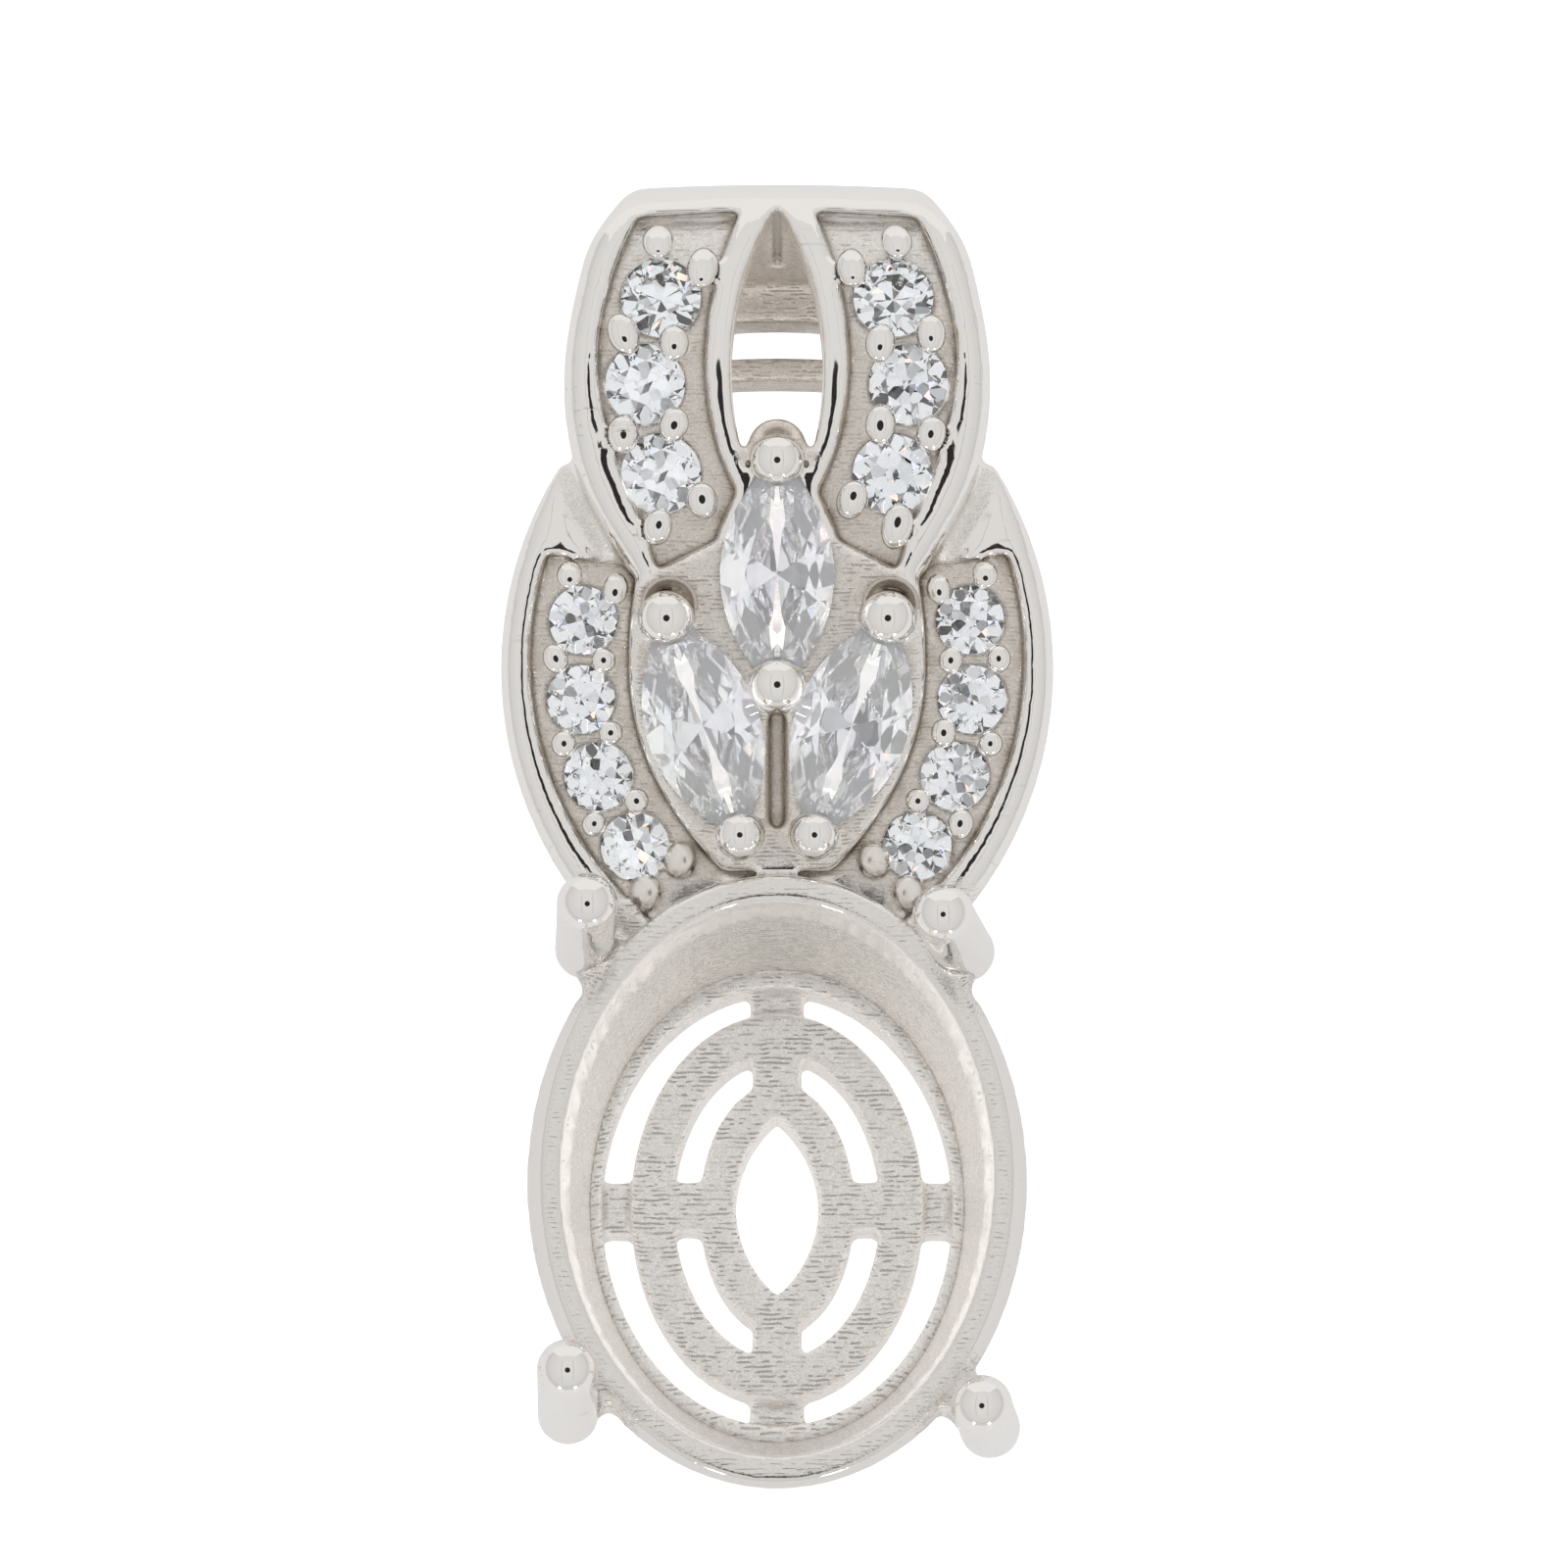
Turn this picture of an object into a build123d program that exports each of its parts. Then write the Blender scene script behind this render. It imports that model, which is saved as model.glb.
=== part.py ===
from build123d import *
import os
from math import asin, atan2, cos, radians, sin, sqrt

# Pendant setting of cast white metal, lying on its back with its face up. A chain bail
# with two rows of small stones runs into a shield with two more rows and a trefoil of
# three marquise stones, and the shield carries an open four-prong basket for an oval
# stone. Millimetres. X is to the right, Y towards the bail and Z out of the face.
os.makedirs("parts", exist_ok=True)

# Oval basket
STONE_LENGTH = 10.0  # oval stone that the basket takes
STONE_WIDTH = 8.0
RIM_PAST_SIDE = 0.1  # flat rim outside the stone's outline, at each side
RIM_PAST_END = 0.4  # the same at each end
RIM_FLAT_SIDE = 0.33  # width of the flat rim
RIM_FLAT_END = 0.47
SHOULDER_OUT = 0.27  # outer wall past the flat rim
SHOULDER_END_OUT = 0.03
SHOULDER_DROP = 0.45  # below the flat rim
BASKET_HEIGHT = 3.6
BASE_IN = 0.7  # the outer wall narrows by this down to the base
BORE_BEVEL = 0.16  # polished bevel inside the rim, inward
BORE_BEVEL_DROP = 0.75
BORE_TAPER = 0.32  # inner wall below the bevel, inward down to the floor, at the sides
BORE_TAPER_END = 0.55  # the same at the ends
FLOOR_THICKNESS = 0.95
FLOOR_LEDGE = 0.2  # step between the inner wall and the pierced floor, at the sides
FLOOR_LEDGE_END = 0.3
BAR_WIDTH = 0.95  # bars of the pierced floor
INNER_BAR_WIDTH = 0.86
OUTER_BAR_THICKNESS = 0.68  # the outer bars lie lower than the rings

# Ellipses of the pierced floor, as shares of the opening inside the ledge
FLOOR_RINGS = {
    "outer ring outside": (0.835, 0.885),
    "outer ring inside": (0.588, 0.695),
    "inner ring outside": (0.44, 0.563),
    "eye": (0.235, 0.41),
}

# Basket prongs
PRONG_RADIUS = 0.53
PRONG_TIP_RISE = 2.3  # ball centre above the flat rim
PRONG_FOOT_DROP = 0.62  # foot below the flat rim
ARM_RADIUS = 0.42  # short arm from the wall to the foot of a prong
ARM_HEIGHT = 0.9
ARM_REACH = 0.2  # arm's length, as a share of the way from the middle to the foot
# Foot and tip of each prong, as shares of the flat rim's half width and half length
BASKET_PRONGS = [
    # foot across, foot along, tip across, tip along
    (-0.82, 0.775, -0.80, 0.805),
    (0.80, 0.765, 0.70, 0.77),
    (-0.885, -0.755, -0.875, -0.71),
    (0.90, -0.80, 0.855, -0.825),
]

# Face plane, from the rim's edge up to the bail
FACE_TILT = 13.0
FACE_DROP = 0.29  # start of the face plane below the flat rim

# Bail, measured along the face plane from the rim's edge
BAIL_FOOT = 5.05
BAIL_LENGTH = 7.38
BAIL_WIDTH = 7.48
BAIL_WALL = 0.9
BEND_RADIUS = 8.0  # gentle bend of the upper face
BEND_ANGLE = 20.0
TOP_RADIUS = 1.3
TOP_PAST_FACE = 12.2  # outermost line of the rolled top, along the face plane
BACK_RADIUS = 1.2
HEEL_LENGTH = 3.0  # flat that the bail lies on
HEEL_RADIUS = 1.6
HEEL_TURN = 62.0
BAIL_EDGE = 0.48  # rounding of the bail's outer edges
# Side of the bail: share of its half width, share of its length
BAIL_SIDE = [
    (0.645, 0.0),
    (0.79, 0.116),
    (0.893, 0.211),
    (0.978, 0.352),
    (1.0, 0.516),
    (0.936, 0.727),
    (0.834, 0.881),
    (0.588, 1.0),
]

# Recessed rows of the bail, in the same shares
BAIL_ROW_DEPTH = 0.35
BAIL_ROW_OUTSIDE = [
    (0.658, 0.892),
    (0.782, 0.727),
    (0.842, 0.516),
    (0.782, 0.352),
    (0.644, 0.164),
    (0.566, 0.044),
]
BAIL_ROW_FOOT = [
    (0.268, 0.119),
    (0.255, 0.154),
    (0.190, 0.229),
]
BAIL_ROW_INSIDE = [
    (0.190, 0.229),
    (0.300, 0.375),
    (0.337, 0.540),
    (0.278, 0.751),
    (0.172, 0.901),
]

# Pointed opening, cut straight down through the front of the bail
OPENING_LENGTH = 5.86
OPENING_WIDTH = 1.6
OPENING_CENTRE = 8.95  # along the face plane
OPENING_BOTTOM = 1.9  # height at which the cut stops
# Two bowed slots through the back of the bail, the upper one first
SLOT_HEIGHTS = (0.64, 1.2)
SLOT_BAR = 0.45
SLOT_WIDTH = 3.6
SLOT_BOW = 0.14
SLOT_PAST_TOP = 1.59  # first slot's upper edge, in from the rolled top

# Shield
SHIELD_WIDTH = 9.72
SHIELD_SIDE_RADIUS = 6.68
SHIELD_CENTRE = 3.63  # widest line, along the face plane
SHIELD_TOP = 7.25
SHIELD_BOTTOM = -1.3
SHIELD_THICKNESS = 1.5
SHIELD_SET_BACK = 0.4  # shield's rim below the bail's face
SHIELD_EDGE = 0.44
SHIELD_RIM = 0.52
SHIELD_ROW_RADIUS = 6.0  # inside edge of the rim
SHIELD_ROW_CENTRE = 3.8
SHIELD_ROW_DEPTH = 0.35
SHIELD_ROW_TOP = 5.05  # top edge of the recess, on the centre line
SHIELD_ROW_TOP_RISE = 0.75  # its rise to the widest point
SCOOP_WIDTH = 0.45
SCOOP_DEPTH = 0.22

# Raised plate under the three marquise stones
PLATE_THICKNESS = 1.3
PLATE_SET_BACK = 0.04
PLATE_WIDTH = 5.2
PLATE_BOTTOM = 0.1
PLATE_LENGTH = 5.27  # up to the points of the bail's recessed rows
# Side of the plate: share of its half width, share of its length
PLATE_SIDE = [
    (0.365, 0.0),
    (0.683, 0.19),
    (0.913, 0.418),
    (1.0, 0.674),
    (0.97, 0.91),
    (0.955, 0.965),
]
HEAD_MARGIN = 0.14  # metal round the upper marquise
GROOVE_WIDTH = 0.3
GROOVE_DEPTH = 0.3

# Stones
CLEARANCE = 0.03
UPPER_ROUND = 1.4
LOWER_ROUND = 1.2
ROUND_GAP = 0.19
MARQUISE_LENGTH = 4.0
MARQUISE_WIDTH = 2.0
GIRDLE = 0.05
TABLE_SHARE = 0.56  # table against the girdle
ROUND_CROWN = 0.155  # heights as shares of the girdle's width
ROUND_PAVILION = 0.43
MARQUISE_CROWN = 0.15
MARQUISE_PAVILION = 0.40
ROUND_SEAT = 0.06  # girdle above the floor of its row
MARQUISE_SEAT = 0.16  # girdle above the plate
CULET_HOLE = 0.46  # opening behind a round stone, share of its width
MARQUISE_HOLE = 0.5  # opening behind a marquise stone, share of its size

# Rows of round stones, on arcs in the face plane
UPPER_COUNT = 3
UPPER_ROW_RADIUS = 4.51
UPPER_ROW_ACROSS = 2.32  # middle stone from the centre line
UPPER_ROW_CENTRE = 8.63
LOWER_COUNT = 4
LOWER_ROW_RADIUS = 5.29
LOWER_ROW_START = 9.5  # first stone, degrees above the shield's widest line

# Marquise stones: centre across, centre along the face plane, turn in degrees
TREFOIL_SPREAD = 1.295
TREFOIL_LOW = 2.63
TREFOIL_HIGH = 5.29
TREFOIL_TURN = 18.7

# Beads and marquise prongs
UPPER_BEAD = 0.27
UPPER_STEM = 0.17
LOWER_BEAD = 0.22
LOWER_STEM = 0.14
BEAD_RISE = 0.3  # centre of the bead above the floor of its row
BEAD_FOOT = 0.2  # root of its stem below the floor
UPPER_BEAD_SPREAD = 0.45
LOWER_BEAD_SPREAD = 0.42
TIP_PRONG = 0.46
SIDE_PRONG = 0.48
SHARED_PRONG = 0.49
FOOT_PRONG = 0.41
SHARED_PRONG_RAISE = 0.07  # shared prong past the upper marquise's lower point
MARQUISE_PRONG_RISE = 0.42  # ball centre above the plate
CUP_RADIUS = 0.42
CUP_WALL = 0.1
CUP_DEPTH = 0.45
CUP_TAPER = 22.0  # slope of the cups' sides, in degrees
CUP_PAST_TIP = 0.22

# Worked out from the sizes above
rim_x = STONE_WIDTH / 2 + RIM_PAST_SIDE
rim_y = STONE_LENGTH / 2 + RIM_PAST_END
tilt = radians(FACE_TILT)
face_rise = BASKET_HEIGHT - FACE_DROP
bend_end = radians(BEND_ANGLE)
# Centre of the rolled top, in the face plane: along it, and below it
roll_along = TOP_PAST_FACE - TOP_RADIUS
bend_start = roll_along - (BEND_RADIUS - TOP_RADIUS) * sin(bend_end)
roll_depth = BEND_RADIUS - (BEND_RADIUS - TOP_RADIUS) * cos(bend_end)
top_past_rim = roll_along * cos(tilt) + roll_depth * sin(tilt) + TOP_RADIUS
# The middle of the whole length is at Y 0
basket_y = (SHOULDER_END_OUT - top_past_rim) / 2
face_start = basket_y + rim_y

FACE = Plane(
    origin=(0, face_start, face_rise),
    x_dir=(1, 0, 0),
    z_dir=(0, -sin(tilt), cos(tilt)),
)


def face_point(along, depth):
    """Y and Z of a point along the face plane and below it."""
    y = face_start + along * cos(tilt) + depth * sin(tilt)
    z = face_rise + along * sin(tilt) - depth * cos(tilt)
    return y, z


def surface_plane(across, along, depth):
    """Plane on the bail's bent face, or on the flat below it, set down by depth."""
    turn = 0.0
    if along > bend_start:
        turn = asin((along - bend_start) / BEND_RADIUS)
    sag = BEND_RADIUS * (1 - cos(turn))
    lean = tilt - turn
    y, z = face_point(along, sag)
    normal = Vector(0, -sin(lean), cos(lean))
    return Plane(
        origin=Vector(across, y, z) - normal * depth,
        x_dir=(1, 0, 0),
        z_dir=normal,
    )


def bail_points(shares, side):
    """Points in the face plane from shares of the bail's half width and length."""
    return [
        (side * across * BAIL_WIDTH / 2, BAIL_FOOT + along * BAIL_LENGTH)
        for across, along in shares
    ]


def plate_points(shares, side):
    """Points in the face plane from shares of the plate's half width and length."""
    return [
        (side * across * PLATE_WIDTH / 2, PLATE_BOTTOM + along * PLATE_LENGTH)
        for across, along in shares
    ]


def outline_x(half_width, radius, centre, along):
    """Distance from the centre line to an arc that is widest at centre."""
    return half_width - radius + sqrt(radius**2 - (along - centre) ** 2)


# Basket: a solid oval cup, hollowed later
with BuildPart() as basket:
    with BuildSketch(Plane.XY) as base:
        with Locations((0, basket_y)):
            Ellipse(rim_x + SHOULDER_OUT - BASE_IN, rim_y + SHOULDER_END_OUT - BASE_IN)
    with BuildSketch(Plane.XY.offset(BASKET_HEIGHT - SHOULDER_DROP)) as shoulder:
        with Locations((0, basket_y)):
            Ellipse(rim_x + SHOULDER_OUT, rim_y + SHOULDER_END_OUT)
    with BuildSketch(Plane.XY.offset(BASKET_HEIGHT)) as rim:
        with Locations((0, basket_y)):
            Ellipse(rim_x, rim_y)
    loft(sections=[base.sketch, shoulder.sketch, rim.sketch], ruled=True)

# Half widths of the bore, at the rim, under the bevel and at the floor
bore_x = rim_x - RIM_FLAT_SIDE
bore_y = rim_y - RIM_FLAT_END
floor_x = bore_x - BORE_BEVEL - BORE_TAPER
floor_y = bore_y - BORE_BEVEL - BORE_TAPER_END
pierced_x = floor_x - FLOOR_LEDGE
pierced_y = floor_y - FLOOR_LEDGE_END

with BuildPart() as bore:
    with BuildSketch(Plane.XY.offset(FLOOR_THICKNESS)) as bore_foot:
        with Locations((0, basket_y)):
            Ellipse(floor_x, floor_y)
    with BuildSketch(Plane.XY.offset(BASKET_HEIGHT - BORE_BEVEL_DROP)) as bore_middle:
        with Locations((0, basket_y)):
            Ellipse(bore_x - BORE_BEVEL, bore_y - BORE_BEVEL)
    with BuildSketch(Plane.XY.offset(BASKET_HEIGHT)) as bore_mouth:
        with Locations((0, basket_y)):
            Ellipse(bore_x, bore_y)
    loft(sections=[bore_foot.sketch, bore_middle.sketch, bore_mouth.sketch], ruled=True)


def ring_size(name):
    """Half sizes of one ellipse of the pierced floor."""
    across, along = FLOOR_RINGS[name]
    return pierced_x * across, pierced_y * along


with BuildPart() as floor_cuts:
    with BuildSketch(Plane.XY) as outer_slots:
        with Locations((0, basket_y)):
            Ellipse(pierced_x, pierced_y)
            Ellipse(*ring_size("outer ring outside"), mode=Mode.SUBTRACT)
            Rectangle(BAR_WIDTH, 2 * pierced_y, mode=Mode.SUBTRACT)
            Rectangle(2 * pierced_x, BAR_WIDTH, mode=Mode.SUBTRACT)
    extrude(amount=FLOOR_THICKNESS)
    with BuildSketch(Plane.XY) as inner_slots:
        with Locations((0, basket_y)):
            Ellipse(*ring_size("outer ring inside"))
            Ellipse(*ring_size("inner ring outside"), mode=Mode.SUBTRACT)
            Rectangle(INNER_BAR_WIDTH, 2 * pierced_y, mode=Mode.SUBTRACT)
            Rectangle(2 * pierced_x, INNER_BAR_WIDTH, mode=Mode.SUBTRACT)
    extrude(amount=FLOOR_THICKNESS)
    eye_x, eye_y = ring_size("eye")
    with BuildSketch(Plane.XY) as eye:
        with BuildLine():
            ThreePointArc(
                (0, basket_y - eye_y), (eye_x, basket_y), (0, basket_y + eye_y)
            )
            ThreePointArc(
                (0, basket_y + eye_y), (-eye_x, basket_y), (0, basket_y - eye_y)
            )
        make_face()
    extrude(amount=FLOOR_THICKNESS)
    with BuildSketch(Plane.XY.offset(OUTER_BAR_THICKNESS)) as lowered_bars:
        with Locations((0, basket_y)):
            Ellipse(pierced_x, pierced_y)
            Ellipse(*ring_size("outer ring outside"), mode=Mode.SUBTRACT)
    extrude(amount=FLOOR_THICKNESS - OUTER_BAR_THICKNESS)

# Shield: a tilted plate with a rounded edge, dished beside the bail, with the floor of
# its stone rows sunk inside the rim
shield_top_x = outline_x(SHIELD_WIDTH / 2, SHIELD_SIDE_RADIUS, SHIELD_CENTRE, SHIELD_TOP)
shield_foot_x = outline_x(
    SHIELD_WIDTH / 2, SHIELD_SIDE_RADIUS, SHIELD_CENTRE, SHIELD_BOTTOM
)
with BuildSketch(FACE.offset(-SHIELD_SET_BACK)) as shield_outline:
    with BuildLine():
        ThreePointArc(
            (shield_foot_x, SHIELD_BOTTOM),
            (SHIELD_WIDTH / 2, SHIELD_CENTRE),
            (shield_top_x, SHIELD_TOP),
        )
        Line((shield_top_x, SHIELD_TOP), (-shield_top_x, SHIELD_TOP))
        ThreePointArc(
            (-shield_top_x, SHIELD_TOP),
            (-SHIELD_WIDTH / 2, SHIELD_CENTRE),
            (-shield_foot_x, SHIELD_BOTTOM),
        )
        Line((-shield_foot_x, SHIELD_BOTTOM), (shield_foot_x, SHIELD_BOTTOM))
    make_face()

with BuildSketch(FACE) as bail_outline:
    with BuildLine():
        Spline(*bail_points(BAIL_SIDE, 1))
        Line(bail_points(BAIL_SIDE[-1:], 1)[0], bail_points(BAIL_SIDE[-1:], -1)[0])
        Spline(*bail_points(BAIL_SIDE, -1))
        Line(bail_points(BAIL_SIDE[:1], -1)[0], bail_points(BAIL_SIDE[:1], 1)[0])
    make_face()

with BuildPart() as shield:
    extrude(shield_outline.sketch, amount=-SHIELD_THICKNESS)
    rounded = shield.edges().filter_by(GeomType.CIRCLE).sort_by(Axis.Z)[-2:]
    fillet(rounded, radius=SHIELD_EDGE)
    with BuildSketch(FACE.offset(-SHIELD_SET_BACK - SCOOP_DEPTH)) as scoop:
        with BuildLine():
            scoop_right = Spline(
                *[(x + SCOOP_WIDTH, along) for x, along in bail_points(BAIL_SIDE, 1)]
            )
            scoop_left = Spline(
                *[(x - SCOOP_WIDTH, along) for x, along in bail_points(BAIL_SIDE, -1)]
            )
            Line(scoop_right @ 0, scoop_left @ 0)
            Line(scoop_right @ 1, scoop_left @ 1)
        make_face()
    extrude(amount=SHIELD_THICKNESS, mode=Mode.SUBTRACT)
    with BuildSketch(FACE.offset(-SHIELD_SET_BACK - SHIELD_ROW_DEPTH)) as recess:
        with Locations(
            (SHIELD_WIDTH / 2 - SHIELD_RIM - SHIELD_ROW_RADIUS, SHIELD_ROW_CENTRE)
        ):
            Circle(SHIELD_ROW_RADIUS)
        with BuildLine():
            Polyline(
                (0, SHIELD_ROW_TOP),
                (SHIELD_WIDTH / 2, SHIELD_ROW_TOP + SHIELD_ROW_TOP_RISE),
                (SHIELD_WIDTH / 2, 2 * SHIELD_BOTTOM),
                (0, 2 * SHIELD_BOTTOM),
                close=True,
            )
        make_face(mode=Mode.INTERSECT)
        mirror(about=Plane.YZ)
    extrude(amount=SHIELD_THICKNESS, mode=Mode.SUBTRACT)

# Bail: a bent loop, round a tunnel for the chain
bail_foot = face_point(BAIL_FOOT, 0)
with BuildSketch(Plane.YZ) as bail_side:
    with BuildLine():
        face_line = Line(bail_foot, face_point(bend_start, 0))
        bend = JernArc(face_line @ 1, face_line % 1, BEND_RADIUS, -BEND_ANGLE)
        roll = JernArc(bend @ 1, bend % 1, TOP_RADIUS, BEND_ANGLE - FACE_TILT - 90)
        back = Line(roll @ 1, ((roll @ 1).X, BACK_RADIUS))
        corner = JernArc(back @ 1, (0, -1), BACK_RADIUS, -90)
        heel = Line(corner @ 1, (corner @ 1) - Vector(HEEL_LENGTH, 0))
        turn_up = JernArc(heel @ 1, (-1, 0), HEEL_RADIUS, -HEEL_TURN)
        Line(turn_up @ 1, bail_foot)
    make_face()

with BuildSketch(Plane.YZ) as tunnel_side:
    add(bail_side.sketch_local)
    offset(amount=-BAIL_WALL, kind=Kind.INTERSECTION)

with BuildSketch(Plane.YZ) as row_skin:
    add(bail_side.sketch_local)
    offset(amount=SHIELD_ROW_DEPTH, kind=Kind.INTERSECTION)
    with BuildSketch(Plane.YZ, mode=Mode.PRIVATE) as row_floor:
        add(bail_side.sketch_local)
        offset(amount=-BAIL_ROW_DEPTH, kind=Kind.INTERSECTION)
    add(row_floor.sketch_local, mode=Mode.SUBTRACT)

with BuildPart() as bail_rows:
    with BuildSketch(FACE.offset(BAIL_ROW_DEPTH)) as row:
        with BuildLine():
            outside = Spline(*bail_points(BAIL_ROW_OUTSIDE, 1))
            Polyline(outside @ 1, *bail_points(BAIL_ROW_FOOT, 1))
            inside = Spline(*bail_points(BAIL_ROW_INSIDE, 1))
            Line(inside @ 1, outside @ 0)
        make_face()
        mirror(about=Plane.YZ)
    extrude(amount=-2 * BAIL_WALL)
    extrude(row_skin.sketch, amount=BAIL_WIDTH, both=True, mode=Mode.INTERSECT)

with BuildPart() as bail:
    extrude(bail_side.sketch, amount=BAIL_WIDTH, both=True)
    extrude(
        bail_outline.sketch, amount=TOP_PAST_FACE, both=True, mode=Mode.INTERSECT
    )
    flanks = bail.faces().filter_by(lambda f: abs(f.normal_at(f.center()).X) > 0.7)
    # All edges of the flanks but the two that end inside the shield
    fillet(flanks.edges().sort_by(Axis.Y)[2:], radius=BAIL_EDGE)
    extrude(tunnel_side.sketch, amount=BAIL_WIDTH, both=True, mode=Mode.SUBTRACT)
    add(bail_rows.part, mode=Mode.SUBTRACT)
    # Pointed opening
    with BuildSketch(Plane.XY.offset(OPENING_BOTTOM)) as opening:
        middle_y = face_start + OPENING_CENTRE * cos(tilt)
        with BuildLine():
            ThreePointArc(
                (0, middle_y - OPENING_LENGTH / 2),
                (OPENING_WIDTH / 2, middle_y),
                (0, middle_y + OPENING_LENGTH / 2),
            )
            ThreePointArc(
                (0, middle_y + OPENING_LENGTH / 2),
                (-OPENING_WIDTH / 2, middle_y),
                (0, middle_y - OPENING_LENGTH / 2),
            )
        make_face()
    extrude(amount=TOP_PAST_FACE, mode=Mode.SUBTRACT)
    # Bowed slots in the back
    slot_top = face_start + top_past_rim - SLOT_PAST_TOP
    for slot_height in SLOT_HEIGHTS:
        with BuildSketch(Plane.XY) as slot:
            with BuildLine():
                upper = ThreePointArc(
                    (-SLOT_WIDTH / 2, slot_top - SLOT_BOW),
                    (0, slot_top),
                    (SLOT_WIDTH / 2, slot_top - SLOT_BOW),
                )
                lower = ThreePointArc(
                    (SLOT_WIDTH / 2, slot_top - SLOT_BOW - slot_height),
                    (0, slot_top - slot_height),
                    (-SLOT_WIDTH / 2, slot_top - SLOT_BOW - slot_height),
                )
                Line(upper @ 1, lower @ 0)
                Line(lower @ 1, upper @ 0)
            make_face()
        extrude(amount=BAIL_WALL, mode=Mode.SUBTRACT)
        slot_top -= slot_height + SLOT_BAR


def marquise_sketch(plane, length, width):
    """Pointed oval outline between two arcs."""
    with BuildSketch(plane) as outline:
        with BuildLine():
            ThreePointArc((0, -length / 2), (width / 2, 0), (0, length / 2))
            ThreePointArc((0, length / 2), (-width / 2, 0), (0, -length / 2))
        make_face()
    return outline.sketch


# Planes of the three marquise girdles, the upper one first
girdle_rise = MARQUISE_SEAT - PLATE_SET_BACK
low_turn = radians(TREFOIL_TURN)
marquise_planes = {
    "top": Plane(
        origin=FACE.from_local_coords(Vector(0, TREFOIL_HIGH, girdle_rise)),
        x_dir=FACE.x_dir,
        z_dir=FACE.z_dir,
    )
}
for side_name, side in (("left", -1), ("right", 1)):
    marquise_planes[side_name] = Plane(
        origin=FACE.from_local_coords(
            Vector(side * TREFOIL_SPREAD, TREFOIL_LOW, girdle_rise)
        ),
        x_dir=FACE.x_dir * cos(low_turn) + FACE.y_dir * (-side * sin(low_turn)),
        z_dir=FACE.z_dir,
    )

# Plate
with BuildPart() as plate:
    with BuildSketch(FACE.offset(-PLATE_SET_BACK)) as plate_outline:
        with BuildLine():
            right = Spline(*plate_points(PLATE_SIDE, 1))
            left = Spline(*plate_points(PLATE_SIDE, -1))
            Line(left @ 0, right @ 0)
            Polyline(
                right @ 1,
                bail_points(BAIL_ROW_OUTSIDE[-1:], 1)[0],
                bail_points(BAIL_ROW_FOOT[:1], 1)[0],
                bail_points(BAIL_ROW_FOOT[:1], -1)[0],
                bail_points(BAIL_ROW_OUTSIDE[-1:], -1)[0],
                left @ 1,
            )
        make_face()
    extrude(amount=-PLATE_THICKNESS)
    extrude(
        marquise_sketch(
            Plane(
                origin=FACE.from_local_coords(
                    Vector(0, TREFOIL_HIGH, -PLATE_SET_BACK)
                ),
                x_dir=FACE.x_dir,
                z_dir=FACE.z_dir,
            ),
            MARQUISE_LENGTH + 2 * HEAD_MARGIN,
            MARQUISE_WIDTH + 2 * HEAD_MARGIN,
        ),
        amount=-PLATE_THICKNESS,
    )

# Steps along the rows, from the stones' widths and the gap between them
upper_step = 2 * asin((UPPER_ROUND + ROUND_GAP) / 2 / UPPER_ROW_RADIUS)
lower_step = 2 * asin((LOWER_ROUND + ROUND_GAP) / 2 / LOWER_ROW_RADIUS)
upper_centre_x = UPPER_ROW_ACROSS - UPPER_ROW_RADIUS
lower_centre_x = SHIELD_WIDTH / 2 - SHIELD_SIDE_RADIUS
lower_start = radians(LOWER_ROW_START)


def upper_place(side, steps, spread):
    """Floor of the bail's row, steps from its middle stone, spread off its line."""
    reach = UPPER_ROW_RADIUS + spread
    return surface_plane(
        side * (upper_centre_x + reach * cos(steps * upper_step)),
        UPPER_ROW_CENTRE + reach * sin(steps * upper_step),
        BAIL_ROW_DEPTH,
    )


def lower_place(side, steps, spread):
    """Floor of the shield's row, steps below its first stone, spread off its line."""
    reach = LOWER_ROW_RADIUS + spread
    angle = lower_start - steps * lower_step
    return surface_plane(
        side * (lower_centre_x + reach * cos(angle)),
        SHIELD_CENTRE + reach * sin(angle),
        SHIELD_SET_BACK + SHIELD_ROW_DEPTH,
    )


upper_stones = {}
lower_stones = {}
upper_beads = []
lower_beads = []
for side_name, side in (("left", -1), ("right", 1)):
    for i in range(UPPER_COUNT):
        steps = (UPPER_COUNT - 1) / 2 - i
        upper_stones[f"{side_name}_{i + 1}"] = upper_place(side, steps, 0)
    for i in range(UPPER_COUNT + 1):
        steps = UPPER_COUNT / 2 - i
        for spread in (-UPPER_BEAD_SPREAD, UPPER_BEAD_SPREAD):
            upper_beads.append(upper_place(side, steps, spread))
    for i in range(LOWER_COUNT):
        lower_stones[f"{side_name}_{i + 1}"] = lower_place(side, i, 0)
    for i in range(LOWER_COUNT + 1):
        for spread in (-LOWER_BEAD_SPREAD, LOWER_BEAD_SPREAD):
            lower_beads.append(lower_place(side, i - 0.5, spread))


def pin(ball, stem, foot, centre):
    """Upright stem from foot up into a ball about centre, round the Z axis."""
    neck = centre - sqrt(ball**2 - stem**2)
    with BuildPart() as wire:
        with BuildSketch(Plane.XZ):
            with BuildLine():
                Polyline((0, centre + ball), (0, foot), (stem, foot), (stem, neck))
                ThreePointArc((stem, neck), (ball, centre), (0, centre + ball))
            make_face()
        revolve(axis=Axis.Z)
    return wire.part


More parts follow.
